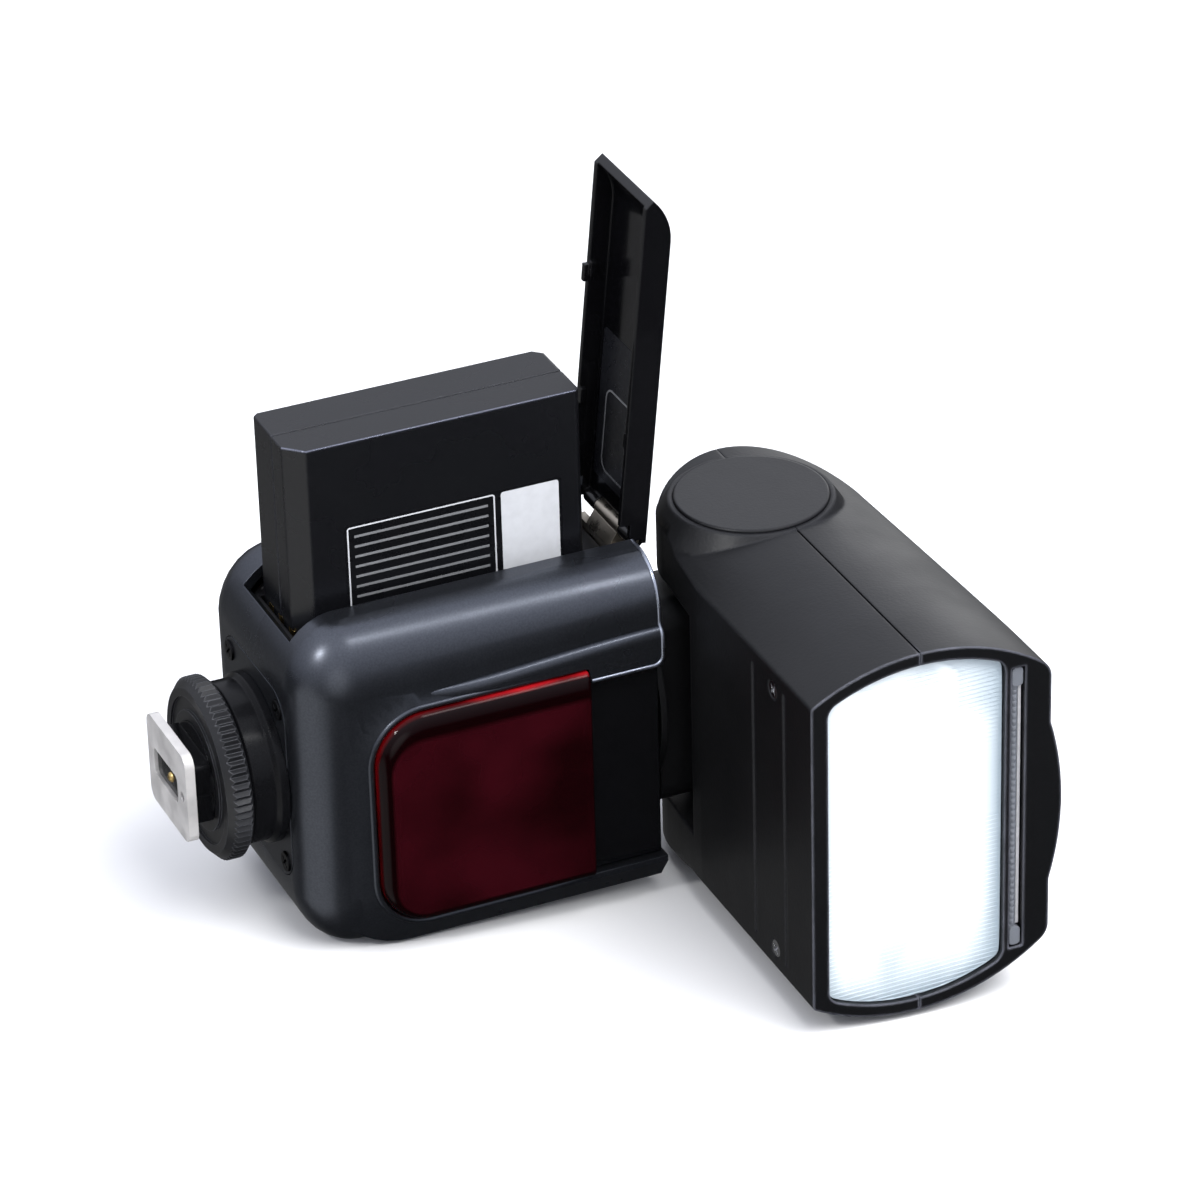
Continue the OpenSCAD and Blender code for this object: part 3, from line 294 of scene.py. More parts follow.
def window_lip():
    """Lip of the front shell round the window: a half round carried along the top, left and foot of the outline.

    point = path + normal w cos a, y = seat - h sin a, with a from 0 to 180 degrees; h rises from 0 at each end of the
    path over a tenth of its length."""
    low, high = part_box("red_window")
    seat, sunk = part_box("front_shell")[0].y + 0.05 * MM, 0.15 * MM
    middle, half, height, corner, end = 0.8 * MM, 0.6 * MM, 0.55 * MM, 10.8 * MM, 0.01 * MM
    steps, fade, least = 16, 0.1, 0.02
    outline = rounded_path(low.x - middle, high.x, low.z - middle, high.z + middle, (end, corner, corner, end), steps)
    path, normal = (a[steps - 1 : 3 * steps + 1] for a in outline)
    run = np.concatenate([[0.0], np.cumsum(np.hypot(*np.diff(path, axis=0).T))])
    run /= run[-1]
    along = np.linspace(0.0, 1.0, 240)
    path, normal = (np.column_stack([np.interp(along, run, a[:, i]) for i in (0, 1)]) for a in (path, normal))
    normal /= np.hypot(*normal.T)[:, None]
    rise = height * np.sqrt(np.clip(np.minimum(along, 1.0 - along) / fade, least, 1.0))
    a = np.linspace(0.0, math.pi, 11)
    flat = path[:, None] + normal[:, None] * (half * np.cos(a))[None, :, None]
    face = points(flat[..., 0], seat - rise[:, None] * np.sin(a), flat[..., 1])
    return looped("window_lip", backed(face, seat + sunk)[:, ::-1])


def bead(name, path, normal, radius):
    """A round bead along a path in space: point + radius (normal cos a + side sin a), closed at both ends.

    The side is square to the path and the normal, and a goes once round."""
    side = np.cross(np.gradient(path, axis=0), normal)
    side /= np.linalg.norm(side, axis=1)[:, None]
    a = np.linspace(0.0, 2 * math.pi, 12, endpoint=False)[None, :, None]
    return looped(name, path[:, None] + radius * (np.cos(a) * normal[:, None] + np.sin(a) * side[:, None]))


def swell_lines(x):
    """Foot, top and rise of the front shell's swell at the place x, and the plane that it rises from.

    The foot steps down beside the window; the top and the rise fall off towards the shoe end as smooth steps."""
    low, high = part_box("front_shell")
    strip_low, strip_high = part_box("front_strip")
    above_window, above_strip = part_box("red_window")[1].z + 0.5 * MM, strip_high.z + 0.4 * MM
    beside, depth, shoulder, climb = 0.3 * MM, 0.9 * MM, 14.2 * MM, 2.0 * MM
    full_rise, rise_start, rise_end = 1.35 * MM, 38 * MM, 58 * MM

    def step(start, end):
        share = np.clip((x - start) / (end - start), 0.0, 1.0)
        return share * share * (3.0 - 2.0 * share)

    foot = above_window + (above_strip - above_window) * step(strip_low.x - beside, strip_low.x + beside)
    top = high.z - shoulder + climb * step(SWELL_START, high.x)
    return foot, top, full_rise * np.sqrt(step(rise_start, rise_end)), low.y + depth


def frame_swell():
    """Swell of the front shell above the window and the strip: a flat foot and a quarter ellipse carried along x.

    z = top(x) - SWELL_BROW (1 - sin a), y = plane - rise(x) cos a, with a from 0 to 90 degrees."""
    gap, sunk = 0.25 * MM, 0.3 * MM
    x = np.linspace(SWELL_START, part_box("front_shell")[1].x - gap, 120)[:, None]
    foot, top, rise, plane = swell_lines(x)
    a = np.append(0.0, np.linspace(0.0, QUARTER, 15))
    z = top - SWELL_BROW * (1 - np.sin(a))
    z[:, :1] = foot
    return looped("frame_swell", backed(points(x, plane - rise * np.cos(a), z), plane + sunk)[:, ::-1])


def end_edge():
    """Bead of painted highlight on the front shell's edge: along the top of the strip, round a corner and up over the
    shoulder.

    x and z: edge - corner (1 - sin a), foot + corner (1 - cos a), with a from 0 to 90 degrees, between straight runs.
    y: the swell, then the shoulder's quarter circle, y0 + R (1 - cos b), z0 + R sin b, and flat to the door."""
    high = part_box("front_shell")[1]
    strip_low, strip_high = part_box("front_strip")
    corner, shoulder, sink, radius, gap = 2.0 * MM, 9.5 * MM, 0.12 * MM, 0.42 * MM, 0.3 * MM
    start, edge, foot, door = strip_low.x + gap, high.x - gap, strip_high.z + 0.65 * MM, -12.3 * MM
    top = high.z - shoulder
    turn = np.linspace(0.0, QUARTER, 15)
    run = np.linspace(start, edge - corner, 14)[:-1]
    climb = np.linspace(foot + corner, top, 12)[1:-1]
    x = np.concatenate([run, edge - corner * (1 - np.sin(turn)), np.full_like(climb, edge)])
    z = np.concatenate([np.full_like(run, foot), foot + corner * (1 - np.cos(turn)), climb])
    _, swell_top, rise, plane = swell_lines(np.float64(edge))
    share = np.clip(1 - (swell_top - z) / SWELL_BROW, 0.0, 1.0)
    front = points(x, plane - rise * np.sqrt(1 - share * share), z)
    bend = points(edge, plane + shoulder * (1 - np.cos(turn)), top + shoulder * np.sin(turn))
    flat = points(edge, np.linspace(bend[-1, 1], door, 5)[1:], high.z)
    lean = np.concatenate([np.zeros(len(front)), turn, np.full(len(flat), QUARTER)])
    normal = points(0.0, -np.cos(lean), np.sin(lean))
    return bead("end_edge", np.concatenate([front, bend, flat]) - sink * normal, normal, radius)


def case_edge():
    """Painted highlight on the battery's front edge: a bead along the top of its chamfer and its face.

    y = low + max(0, chamfer - (x - low)); the bead's middle lies a depth inside the two faces that meet there."""
    low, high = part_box("battery_front_case")
    chamfer, right, depth, radius = 3.5 * MM, 0.9 * MM, 0.2 * MM, 0.25 * MM
    turn = low.x + chamfer
    x = np.concatenate([np.linspace(low.x, turn, 6), np.linspace(turn, high.x - right, 30)[1:]])
    y = low.y + np.maximum(0.0, turn - x)
    aslant = np.where(x < turn, QUARTER / 2, 0.0)
    outward = points(-np.sin(aslant), -np.cos(aslant), 1.0)
    return bead("case_edge", points(x, y, high.z) - depth * outward, outward / math.sqrt(2.0), radius)


def parting_line(name, side):
    """Dark line that fills the head's seam on one side, from the lens to the boss: a bead sunk in the seam."""
    low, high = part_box("head_lower_shell")
    radius, depth, boss, rim, gap = 0.6 * MM, 0.55 * MM, 0.2 * MM, 1.2 * MM, 0.3 * MM
    y = np.linspace(low.y + gap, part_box("pivot_cap_upper")[0].y - rim, 40)
    path = points(high.x, y, side * (high.z - boss - depth))
    return bead(name, path, np.broadcast_to((0.0, 0.0, float(side)), path.shape), radius)


def lesser(first, second, blend):
    """The lesser of two lengths, rounded where they cross: (a + b - sqrt((a - b)^2 + blend^2)) / 2."""
    return 0.5 * (first + second - np.sqrt((first - second) ** 2 + blend * blend))


def grooved_lens(details):
    """Lens: rows at height z, columns across x, closed by a flat back and walls.

    A row runs between the lens's two straight sides, cut by its bulged ends, x = seam ± sqrt(R^2 - (|z| + off)^2).
    The face stands back by depth (0.3 + 0.7 (z / reach)^2) tooth, where tooth goes from 0 to 1 over each pitch, and by
    ribs of |sin| along x that fade in towards the slot. The teeth fade out towards the border. In the UV map u runs
    across the lens and v up it."""
    low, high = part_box("fresnel_lens")
    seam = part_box("head_lower_shell")[1].x
    rim, blend, border, rib_depth = 0.5 * MM, 1.4 * MM, 1.2 * MM, 0.05 * MM
    pitch, bulge = details.groove_pitch, details.lens_bulge
    x0, x1, reach = low.x + rim, high.x - rim, high.z - rim
    off = bulge - reach
    tooth_rows = np.array([0.0, 0.3, 0.62, 0.94])  # as shares of the pitch
    out = (np.arange(int(reach / pitch) + 1)[:, None] + tooth_rows).ravel() * pitch
    last, least_gap = reach - 0.02 * MM, 0.03 * MM
    out = np.append(out[out < last - least_gap], last)
    z = np.concatenate([-out[:0:-1], out])
    half = np.sqrt(bulge**2 - (np.abs(z) + off) ** 2)
    left = (seam - lesser(seam - x0, half, blend))[:, None]
    right = (seam + lesser(x1 - seam, half, blend))[:, None]
    u = np.linspace(0.0, 1.0, 72)
    x = left + (right - left) * u
    tooth = details.groove_depth * (0.3 + 0.7 * (z / reach) ** 2) * (np.abs(z) / pitch % 1.0)
    fall = tooth[:, None] * np.clip(np.minimum(x - left, right - x) / border, 0.0, 1.0)
    fade = np.clip((x - seam) / (x1 - seam), 0.0, 1.0)
    rib = rib_depth * fade * np.abs(np.sin(math.pi * (x - x0) / pitch))
    face = points(x, low.y + fall + rib, z[:, None])
    uvs = np.stack(np.meshgrid(np.concatenate([u, u[::-1]]), (z + reach) / (2 * reach)), -1)
    return looped("grooved_lens", backed(face, high.y), uvs.reshape(-1, 2))


def ribbed_edge(details):
    """Grip on the wide panel's front edge: across is a half round, along are |cos| ribs.

    y = front - height sin(pi u) (0.15 + 0.85 |cos(pi z / pitch)|), with u from 0 to 1 across the panel."""
    low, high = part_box("wide_panel")
    thick, proud, knob = 1.3 * MM, 0.4 * MM, 4.6 * MM
    inset, height, sunk, rows_of_rib = 0.1 * MM, 0.36 * MM, 0.1 * MM, 8
    front, reach, pitch = low.y + proud, high.z - knob, details.rib_pitch
    u = np.linspace(0.0, 1.0, 9)
    z = np.linspace(-reach, reach, rows_of_rib * int(2 * reach / pitch) + 1)[:, None]
    wave = 0.15 + 0.85 * np.abs(np.cos(math.pi * z / pitch))
    top = points(low.x + inset + (thick - 2 * inset) * u, front - height * np.sin(math.pi * u) * wave, z)
    return looped("panel_grip", backed(top, front + sunk))


def smooth(piece, crease=30.0):
    """Smooth shading, broken where two faces meet at more than the crease angle."""
    piece.data.polygons.foreach_set("use_smooth", np.ones(len(piece.data.polygons), bool))
    piece.modifiers.new("Weld", "WELD").merge_threshold = 0.002 * MM
    piece.modifiers.new("Creases", "EDGE_SPLIT").split_angle = math.radians(crease)
    piece.modifiers.new("Normals", "WEIGHTED_NORMAL").weight = 60


def ease_edges(names, width):
    """Rounds the sharp edges of CAD nodes by a bevel that comes after the weld and before the creases."""
    for name in names:
        node = NODES[name]
        plain = node.modifiers.new("Plain faces", "DECIMATE")
        plain.decimate_type = "DISSOLVE"
        plain.angle_limit = math.radians(0.5)
        bevel = node.modifiers.new("Eased edges", "BEVEL")
        bevel.width = width
        bevel.segments = 3
        bevel.limit_method = "ANGLE"
        bevel.angle_limit = math.radians(35.0)
        for place, modifier in enumerate((plain, bevel), 1):
            node.modifiers.move(node.modifiers.find(modifier.name), place)


def finish_piece(piece, material, body, crease=30.0):
    """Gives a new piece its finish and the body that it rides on."""
    piece.data.materials.append(material)
    smooth(piece, crease)
    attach(piece, body)


def dress(names, material, crease=30.0):
    """Gives CAD nodes their finish; their shapes stay as they are."""
    for name in names:
        node = NODES[name]
        node.data.materials.clear()
        node.data.materials.append(material)
        node.data.polygons.foreach_set("material_index", np.zeros(len(node.data.polygons), np.int32))
        smooth(node, crease)


# Materials


def feed(tree, node, inputs):
    """Gives a node's inputs their values; a value is a number, a vector, a colour or another node's output."""
    for name, value in inputs.items():
        if isinstance(value, bpy.types.NodeSocket):
            tree.links.new(value, node.inputs[name])
        else:
            node.inputs[name].default_value = value


def add_node(tree, kind, inputs, **settings):
    """A shader node with its settings and inputs."""
    node = tree.nodes.new("ShaderNode" + kind)
    for name, value in settings.items():
        setattr(node, name, value)
    feed(tree, node, inputs)
    return node


def new_finish(name, base, roughness, metallic=0.0, specular=0.5):
    """A material with one Principled shader, its node tree and that shader."""
    material = bpy.data.materials.new(name)
    material.use_nodes = True
    tree = material.node_tree
    shader = tree.nodes["Principled BSDF"]
    feed(tree, shader, {"Base Color": (*base, 1.0), "Roughness": roughness, "Metallic": metallic})
    feed(tree, shader, {"Specular IOR Level": specular})
    return material, tree, shader


def object_noise(tree, scale, detail=2.0, stretch=EVEN):
    """Noise on Object coordinates; scale is in lumps to the metre, stretch squeezes it along each axis."""
    place = add_node(tree, "TexCoord", {}).outputs["Object"]
    mapping = add_node(tree, "Mapping", {"Vector": place, "Scale": stretch})
    inputs = {"Vector": mapping.outputs["Vector"], "Scale": scale, "Detail": detail}
    return add_node(tree, "TexNoise", inputs).outputs["Fac"]


def spread(tree, value, low=0.0, high=1.0, source=(0.35, 0.65)):
    """Carries a value from its source span, by default that of a noise, to low and high, and no further."""
    spans = dict(zip(("From Min", "From Max", "To Min", "To Max"), (*source, low, high)))
    return add_node(tree, "MapRange", {"Value": value, **spans}).outputs["Result"]


def blend_colours(tree, factor, first, second):
    """A colour between two, by a factor; each of the two is a colour or another node's output."""
    first, second = (c if isinstance(c, bpy.types.NodeSocket) else (*c, 1.0) for c in (first, second))
    return add_node(tree, "Mix", {"A": first, "B": second, "Factor": factor}, data_type="RGBA").outputs["Result"]


def product(tree, first, *others):
    """The product of several values."""
    for other in others:
        first = add_node(tree, "Math", {0: first, 1: other}, operation="MULTIPLY").outputs["Value"]
    return first


def vector_math(tree, operation, first, second):
    """A vector operation on two values."""
    node = add_node(tree, "VectorMath", {0: first, 1: second}, operation=operation)
    return node.outputs["Value" if operation == "DOT_PRODUCT" else "Vector"]


def coordinate(tree, kind, axis):
    """One axis of a texture coordinate: Object, Normal or UV, or Generated in the surround."""
    place = add_node(tree, "TexCoord", {}).outputs[kind]
    return add_node(tree, "SeparateXYZ", {"Vector": place}).outputs[axis]


def shade(colour, factor):
    """The colour made lighter or darker."""
    return tuple(min(1.0, c * factor) for c in colour)


def round_edges(tree, radius):
    """A normal that rounds sharp edges over the radius."""
    return add_node(tree, "Bevel", {"Radius": radius}, samples=4).outputs["Normal"]


def bump(tree, shader, height, distance, normal=None):
    """Raises the surface by a height map, over a normal if there is one; the distance is in metres."""
    node = add_node(tree, "Bump", {"Height": height, "Distance": distance, "Strength": 1.0})
    if normal is not None:
        feed(tree, node, {"Normal": normal})
    feed(tree, shader, {"Normal": node.outputs["Normal"]})


def worn_and_highlight_edges(tree, rounded, lowest, zone=None):
    """A mask that is high where the rounded normal leaves the true one, so along edges, broken up by noise; it marks
    rubbed edges and painted edge highlights.

    The noise takes it down to lowest at most. A zone is an axis and two places on it, where the mask is whole and
    where it is down to a tenth."""
    true_normal = add_node(tree, "NewGeometry", {}).outputs["Normal"]
    agreement = vector_math(tree, "DOT_PRODUCT", rounded, true_normal)
    edge = spread(tree, agreement, 1.0, 0.0, (0.75, 0.97))
    patch = spread(tree, object_noise(tree, scale=260.0, detail=4.0), lowest, 1.0)
    if zone is None:
        return product(tree, edge, patch)
    axis, whole, faint = zone
    return product(tree, edge, patch, spread(tree, coordinate(tree, "Object", axis), 1.0, 0.1, (whole, faint)))


def moulded(name, base, roughness, grain, depth, edge, specular=0.5, wear_and_highlight=2.2, metallic=0.0, lowest=0.15, zone=None):
    """Moulded plastic or paint: grain bumps, patchy gloss, rounded edges that are lightened as rubbing and as painted
    highlight.

    The grain is in lumps to the metre and the depth is theirs; the edge factor is how many times lighter a lightened
    edge is, partly rubbing and partly painted highlight."""
    material, tree, shader = new_finish(name, base, roughness, metallic, specular)
    rounded = round_edges(tree, edge)
    fine = object_noise(tree, grain)
    bump(tree, shader, fine, depth, rounded)
    gloss = spread(tree, object_noise(tree, scale=70.0, detail=3.0), roughness - 0.03, roughness + 0.03)
    speckle = blend_colours(tree, spread(tree, fine), shade(base, 0.92), shade(base, 1.08))
    # Lighter edges: partly rubbed plastic or paint, partly painted highlight
    rub_and_highlight = blend_colours(tree, worn_and_highlight_edges(tree, rounded, lowest, zone), speckle, shade(base, wear_and_highlight))
    feed(tree, shader, {"Base Color": rub_and_highlight, "Roughness": gloss})
    return material


def bare_metal(name, base, roughness, stretch, edge, depth=0.006 * MM, metallic=1.0):
    """Brushed metal: fine scratches along one axis and dull patches."""
    material, tree, shader = new_finish(name, base, roughness, metallic)
    rounded = round_edges(tree, edge)
    bump(tree, shader, object_noise(tree, scale=900.0, detail=3.0, stretch=stretch), depth, rounded)
    stains = object_noise(tree, scale=240.0, detail=4.0)
    gloss = spread(tree, stains, roughness - 0.08, roughness + 0.14)
    tone = blend_colours(tree, spread(tree, stains), shade(base, 0.84), base)
    feed(tree, shader, {"Base Color": tone, "Roughness": gloss})
    return material


def clear_plastic(name, base, roughness, transmission, edge, wave=0.0):
    """Clear or tinted moulding with a faint ripple."""
    material, tree, shader = new_finish(name, base, roughness)
    feed(tree, shader, {"Transmission Weight": transmission, "IOR": ACRYLIC_IOR})
    bump(tree, shader, object_noise(tree, scale=120.0), wave, round_edges(tree, edge))
    return material


def tinted_window(name, deep, glow, edge):
    """Red acrylic: a deep face, a near-black bevel that is painted shade, and a rim with a painted red glow and painted
    highlight streaks where it faces up.
    """
    material, tree, shader = new_finish(name, deep, 0.06, specular=0.12)
    feed(tree, shader, {"Transmission Weight": 0.1, "IOR": ACRYLIC_IOR})
    inwards = coordinate(tree, "UV", "Y")
    cloud = spread(tree, object_noise(tree, scale=45.0))
    face = blend_colours(tree, cloud, shade(deep, 0.45), shade(deep, 1.6))
    # Painted shade: the bevel is darkened to a fifth of the deep red
    colour = blend_colours(tree, spread(tree, inwards, source=(0.85, 0.99)), shade(deep, 0.2), face)
    # Painted glow along the rim, standing in for light entering the edge
    rim = spread(tree, inwards, 1.0, 0.0, (0.10, 0.34))
    colour = blend_colours(tree, product(tree, rim, cloud), colour, shade(glow, 0.3))
    # Painted highlight: bright red streaks on the brow where it faces up, between x 43 and 56 mm
    brow = spread(tree, coordinate(tree, "Normal", "Z"), source=(0.45, 0.75))
    along = spread(tree, coordinate(tree, "Object", "X"), source=(43 * MM, 56 * MM))
    painted_streak = spread(tree, object_noise(tree, scale=120.0, stretch=(0.5, 1.0, 1.0)), 0.2, 1.0, (0.42, 0.58))
    colour = blend_colours(tree, product(tree, rim, brow, along, painted_streak), colour, glow)
    feed(tree, shader, {"Base Color": colour})
    bump(tree, shader, object_noise(tree, scale=90.0), 0.008 * MM, round_edges(tree, edge))
    return material


def frosted_lens_painted_glow(name, base, border):
    """Lens lit by a painted glow: a soft emission and paler face, dim in patches and in one corner, that fade towards
    the bluish border, painted darker as shade.
    """
    material, tree, shader = new_finish(name, base, 0.25)
    feed(tree, shader, {"Transmission Weight": 0.1, "IOR": ACRYLIC_IOR, "Emission Color": (0.95, 0.98, 1.0, 1.0)})
    across, up = coordinate(tree, "UV", "X"), coordinate(tree, "UV", "Y")
    # Painted light: this mask sets the glow and the paler face, not a lamp
    inside = product(
        tree,
        spread(tree, across, 0.2, 1.0, (0.0, 0.10)),
        spread(tree, across, 1.0, 0.0, (0.80, 0.985)),
        spread(tree, up, 0.05, 1.0, (0.0, 0.22)),
        spread(tree, up, 1.0, 0.35, (0.90, 1.0)),
    )
    lumps = object_noise(tree, scale=60.0, detail=1.0, stretch=(1.0, 1.0, 0.5))
    patches = spread(tree, lumps, 0.55, 1.0, (0.34, 0.44))
    corner = product(tree, spread(tree, across, source=(0.70, 0.76)), spread(tree, up, source=(0.76, 0.84)))
    lit = product(tree, inside, patches, spread(tree, corner, 1.0, 0.35, (0.0, 1.0)))
    glow = spread(tree, lit, 0.0, 0.55, (0.0, 1.0))
    feed(tree, shader, {"Base Color": blend_colours(tree, lit, border, base), "Emission Strength": glow})
    bump(tree, shader, object_noise(tree, scale=700.0), 0.01 * MM)
    return material


def printed(name, base, roughness, specular=0.35):
    """Ink or film: a faint mottle of colour and gloss."""
    material, tree, shader = new_finish(name, base, roughness, specular=specular)
    mottle = object_noise(tree, scale=500.0, detail=3.0)
    gloss = spread(tree, mottle, roughness - 0.06, roughness + 0.06)
    tone = blend_colours(tree, spread(tree, mottle), shade(base, 0.93), base)
    feed(tree, shader, {"Base Color": tone, "Roughness": gloss})
    return material


# Operators


def settings(context):
    """The colours and the sizes that the steps share."""
    return context.scene.flash_finishes, context.scene.flash_details


class FLASH_OT_body(bpy.types.Operator):
    """Satin charcoal paint on the body's shells and base plate, and a bead of painted highlight at the shells' end"""

    bl_idname = "flash.body"
    bl_label = "Body shells"

    def execute(self, context):
        finishes, details = settings(context)
        edge = 0.6 * details.edge_round
        paint = moulded("shell_paint", finishes.shell, 0.30, 2600.0, 0.004 * MM, edge, wear_and_highlight=1.5, metallic=0.95)
        dress(["front_shell", "rear_shell"], paint)
        finish_piece(window_lip(), paint, "main")
        finish_piece(frame_swell(), paint, "main", crease=40.0)
        # Painted highlight: a much lighter paint for the bead along the shells' end
        highlight_finish = bare_metal("highlight_paint", shade(finishes.shell, 5.5), 0.32, EVEN, 0.1 * MM)
        finish_piece(end_edge(), highlight_finish, "main", crease=60.0)
        dull = shade(finishes.shell, 0.8)
        base = moulded("base_paint", dull, 0.36, 2600.0, 0.006 * MM, details.edge_round, wear_and_highlight=1.5, metallic=0.95)
        dress(["base_plate"], base)
        dress(["base_screws"], bare_metal("black_screws", (0.03, 0.03, 0.032), 0.4, EVEN, 0.15 * MM))
        return {"FINISHED"}


class FLASH_OT_window(bpy.types.Operator):
    """Red window, the lamp and sensor behind it and the bare glossy strip beside it"""

    bl_idname = "flash.window"
    bl_label = "Front window"

    def execute(self, context):
        finishes, details = settings(context)
        red = tinted_window("red_acrylic", finishes.window, finishes.window_edge_painted_glow, details.edge_round)
        dress(["red_window"], red, crease=24.0)
        window = curved_window()
        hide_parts("red_window")
        finish_piece(window, red, "main", crease=40.0)
        dress(["front_strip"], moulded("gloss_strip", finishes.gloss, 0.16, 400.0, 0.002 * MM, details.edge_round))
        dress(["focus_lamp"], clear_plastic("lamp_cover", (0.8, 0.75, 0.72), 0.2, 0.5, details.edge_round))
        dress(["slave_sensor"], moulded("sensor_black", finishes.gloss, 0.3, 900.0, 0.004 * MM, 0.2 * MM))
        return {"FINISHED"}


class FLASH_OT_foot(bpy.types.Operator):
    """Bare metal foot, contact and pin, and the black ring, collar and block"""

    bl_idname = "flash.foot"
    bl_label = "Shoe foot"

    def execute(self, context):
        finishes, details = settings(context)
        dress(["foot_plate"], bare_metal("foot_metal", finishes.foot, 0.38, (1.0, 0.2, 1.0), 0.2 * MM, metallic=0.55))
        gold = bare_metal("gold_plate", (0.80, 0.58, 0.24), 0.25, EVEN, 0.1 * MM)
        dress(["centre_contact", "bay_contacts", "battery_terminals"], gold)
        dress(["locking_pin"], bare_metal("pin_steel", (0.6, 0.6, 0.6), 0.25, (0.2, 1.0, 1.0), 0.1 * MM))
        grey = (0.009, 0.0093, 0.0105)
        ring = moulded("ring_plastic", grey, 0.34, 1200.0, 0.012 * MM, 0.25 * MM, wear_and_highlight=14.0, lowest=0.5)
        dress(["lock_ring"], ring, crease=20.0)
        black = (0.004, 0.0041, 0.0048)
        block = moulded("foot_plastic", black, 0.2, 900.0, 0.004 * MM, details.edge_round, specular=0.15)
        dress(["foot_block", "foot_collar"], block)
        return {"FINISHED"}


class FLASH_OT_battery(bpy.types.Operator):
    """Battery pack with its seam, its bay and the glossy door on its hinge"""

    bl_idname = "flash.battery"
    bl_label = "Battery and door"

    def execute(self, context):
        finishes, details = settings(context)
        cases = ["battery_front_case", "battery_rear_case"]
        edge = 1.5 * details.edge_round
        # Lighter case edges: painted highlight more than rubbing
        case = moulded("battery_plastic", finishes.battery, 0.28, 1700.0, 0.012 * MM, edge, wear_and_highlight=18.0, lowest=0.5)
        dress(cases, case, crease=40.0)
        ease_edges(cases, 0.8 * MM)
        # Painted highlight: a much lighter bead along the battery's top front edge
        highlight_finish = bare_metal("highlight_case", shade(finishes.battery, 45.0), 0.3, EVEN, 0.1 * MM)
        finish_piece(case_edge(), highlight_finish, "battery", crease=60.0)
        dress(["battery_bay"], moulded("bay_plastic", shade(finishes.gloss, 1.2), 0.42, 900.0, 0.01 * MM, 0.3 * MM))
        edge = details.edge_round
        door = moulded("door_gloss", finishes.gloss, 0.15, 500.0, 0.003 * MM, edge, specular=0.55, wear_and_highlight=3.0)
        dress(["battery_door"], door, crease=40.0)
        ease_edges(["battery_door"], 0.3 * MM)
        hinge = bare_metal("hinge_steel", (0.55, 0.5, 0.42), 0.3, (1.0, 0.2, 1.0), 0.15 * MM)
        dress(["hinge_bracket", "door_pin"], hinge)
        sleeve = moulded("sleeve_film", (0.05, 0.055, 0.065), 0.3, 400.0, 0.01 * MM, 0.3 * MM)
        dress(["battery_cells", "flash_capacitors"], sleeve)
        self.lay_label(finishes, details)
        self.lay_door_film(finishes, details)
        return {"FINISHED"}

    def lay_door_film(self, finishes, details):
        """A bare film with a plain outline on the door's inner face."""
        film = printed("door_film", shade(finishes.battery, 2.6), 0.32)
        line = printed("door_line", shade(finishes.mark, 0.35), 0.4)
        half, foot, top, corner, lift = 9.4 * MM, 38 * MM, 68 * MM, 1.0 * MM, details.label_lift
        plate = raised_plate("door_film", -half, half, foot, top, corner, 0.0, -lift)
        half, foot, top, corner, wide = 6.5 * MM, 40 * MM, 57 * MM, 2.5 * MM, 0.4 * MM
        ring = flat_ring("door_outline", -half, half, foot, top, corner, wide, 0.0, -1.5 * lift)
        for piece, material in ((plate, film), (ring, line)):
            lean_on_door(piece)
            finish_piece(piece, material, "door")

    def lay_label(self, finishes, details):
        """A blank label on the battery's front: a dark film with a ruled block and a plain pale block."""
        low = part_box("battery_front_case")[0]
        face, lift, count = low.y, details.label_lift, details.label_rules
        left, foot, wide, tall = low.x + 10 * MM, low.z + 9.2 * MM, 43.2 * MM, 17.9 * MM
        margin, corner = 0.6 * MM, 0.6 * MM
        inner_foot, inner_top = foot + margin, foot + tall - margin
        ruled_left, ruled_right, line = left + 0.5 * MM, left + 29.8 * MM, 0.28 * MM
        block_left, rule_margin, rule_height = left + 31.0 * MM, 1.4 * MM, 0.5 * MM
        ink = printed("label_ink", finishes.mark, 0.5)
        dim = printed("label_rules_ink", shade(finishes.mark, 0.3), 0.5)
        film = printed("label_film", shade(finishes.battery, 0.8), 0.3)
        plate = raised_plate("label_film", left, left + wide, foot, foot + tall, 1.0 * MM, face, -0.5 * lift)
        finish_piece(plate, film, "battery")
        block = (block_left, left + wide - margin, inner_foot, inner_top, corner)
        finish_piece(raised_plate("label_block", *block, face, -lift), ink, "battery")
        ruled = (ruled_left, ruled_right, inner_foot, inner_top, corner)
        finish_piece(flat_ring("label_border", *ruled, line, face, -lift), ink, "battery")
        z = inner_foot + (inner_top - inner_foot) * (np.arange(count) + 1) / (count + 1)
        centres = points((ruled_left + ruled_right) / 2, face - 0.4 * lift, z)
        size = (ruled_right - ruled_left - 2 * rule_margin, 0.8 * lift, rule_height)
        finish_piece(block_set("label_rules", centres, size, np.zeros(count)), dim, "battery")


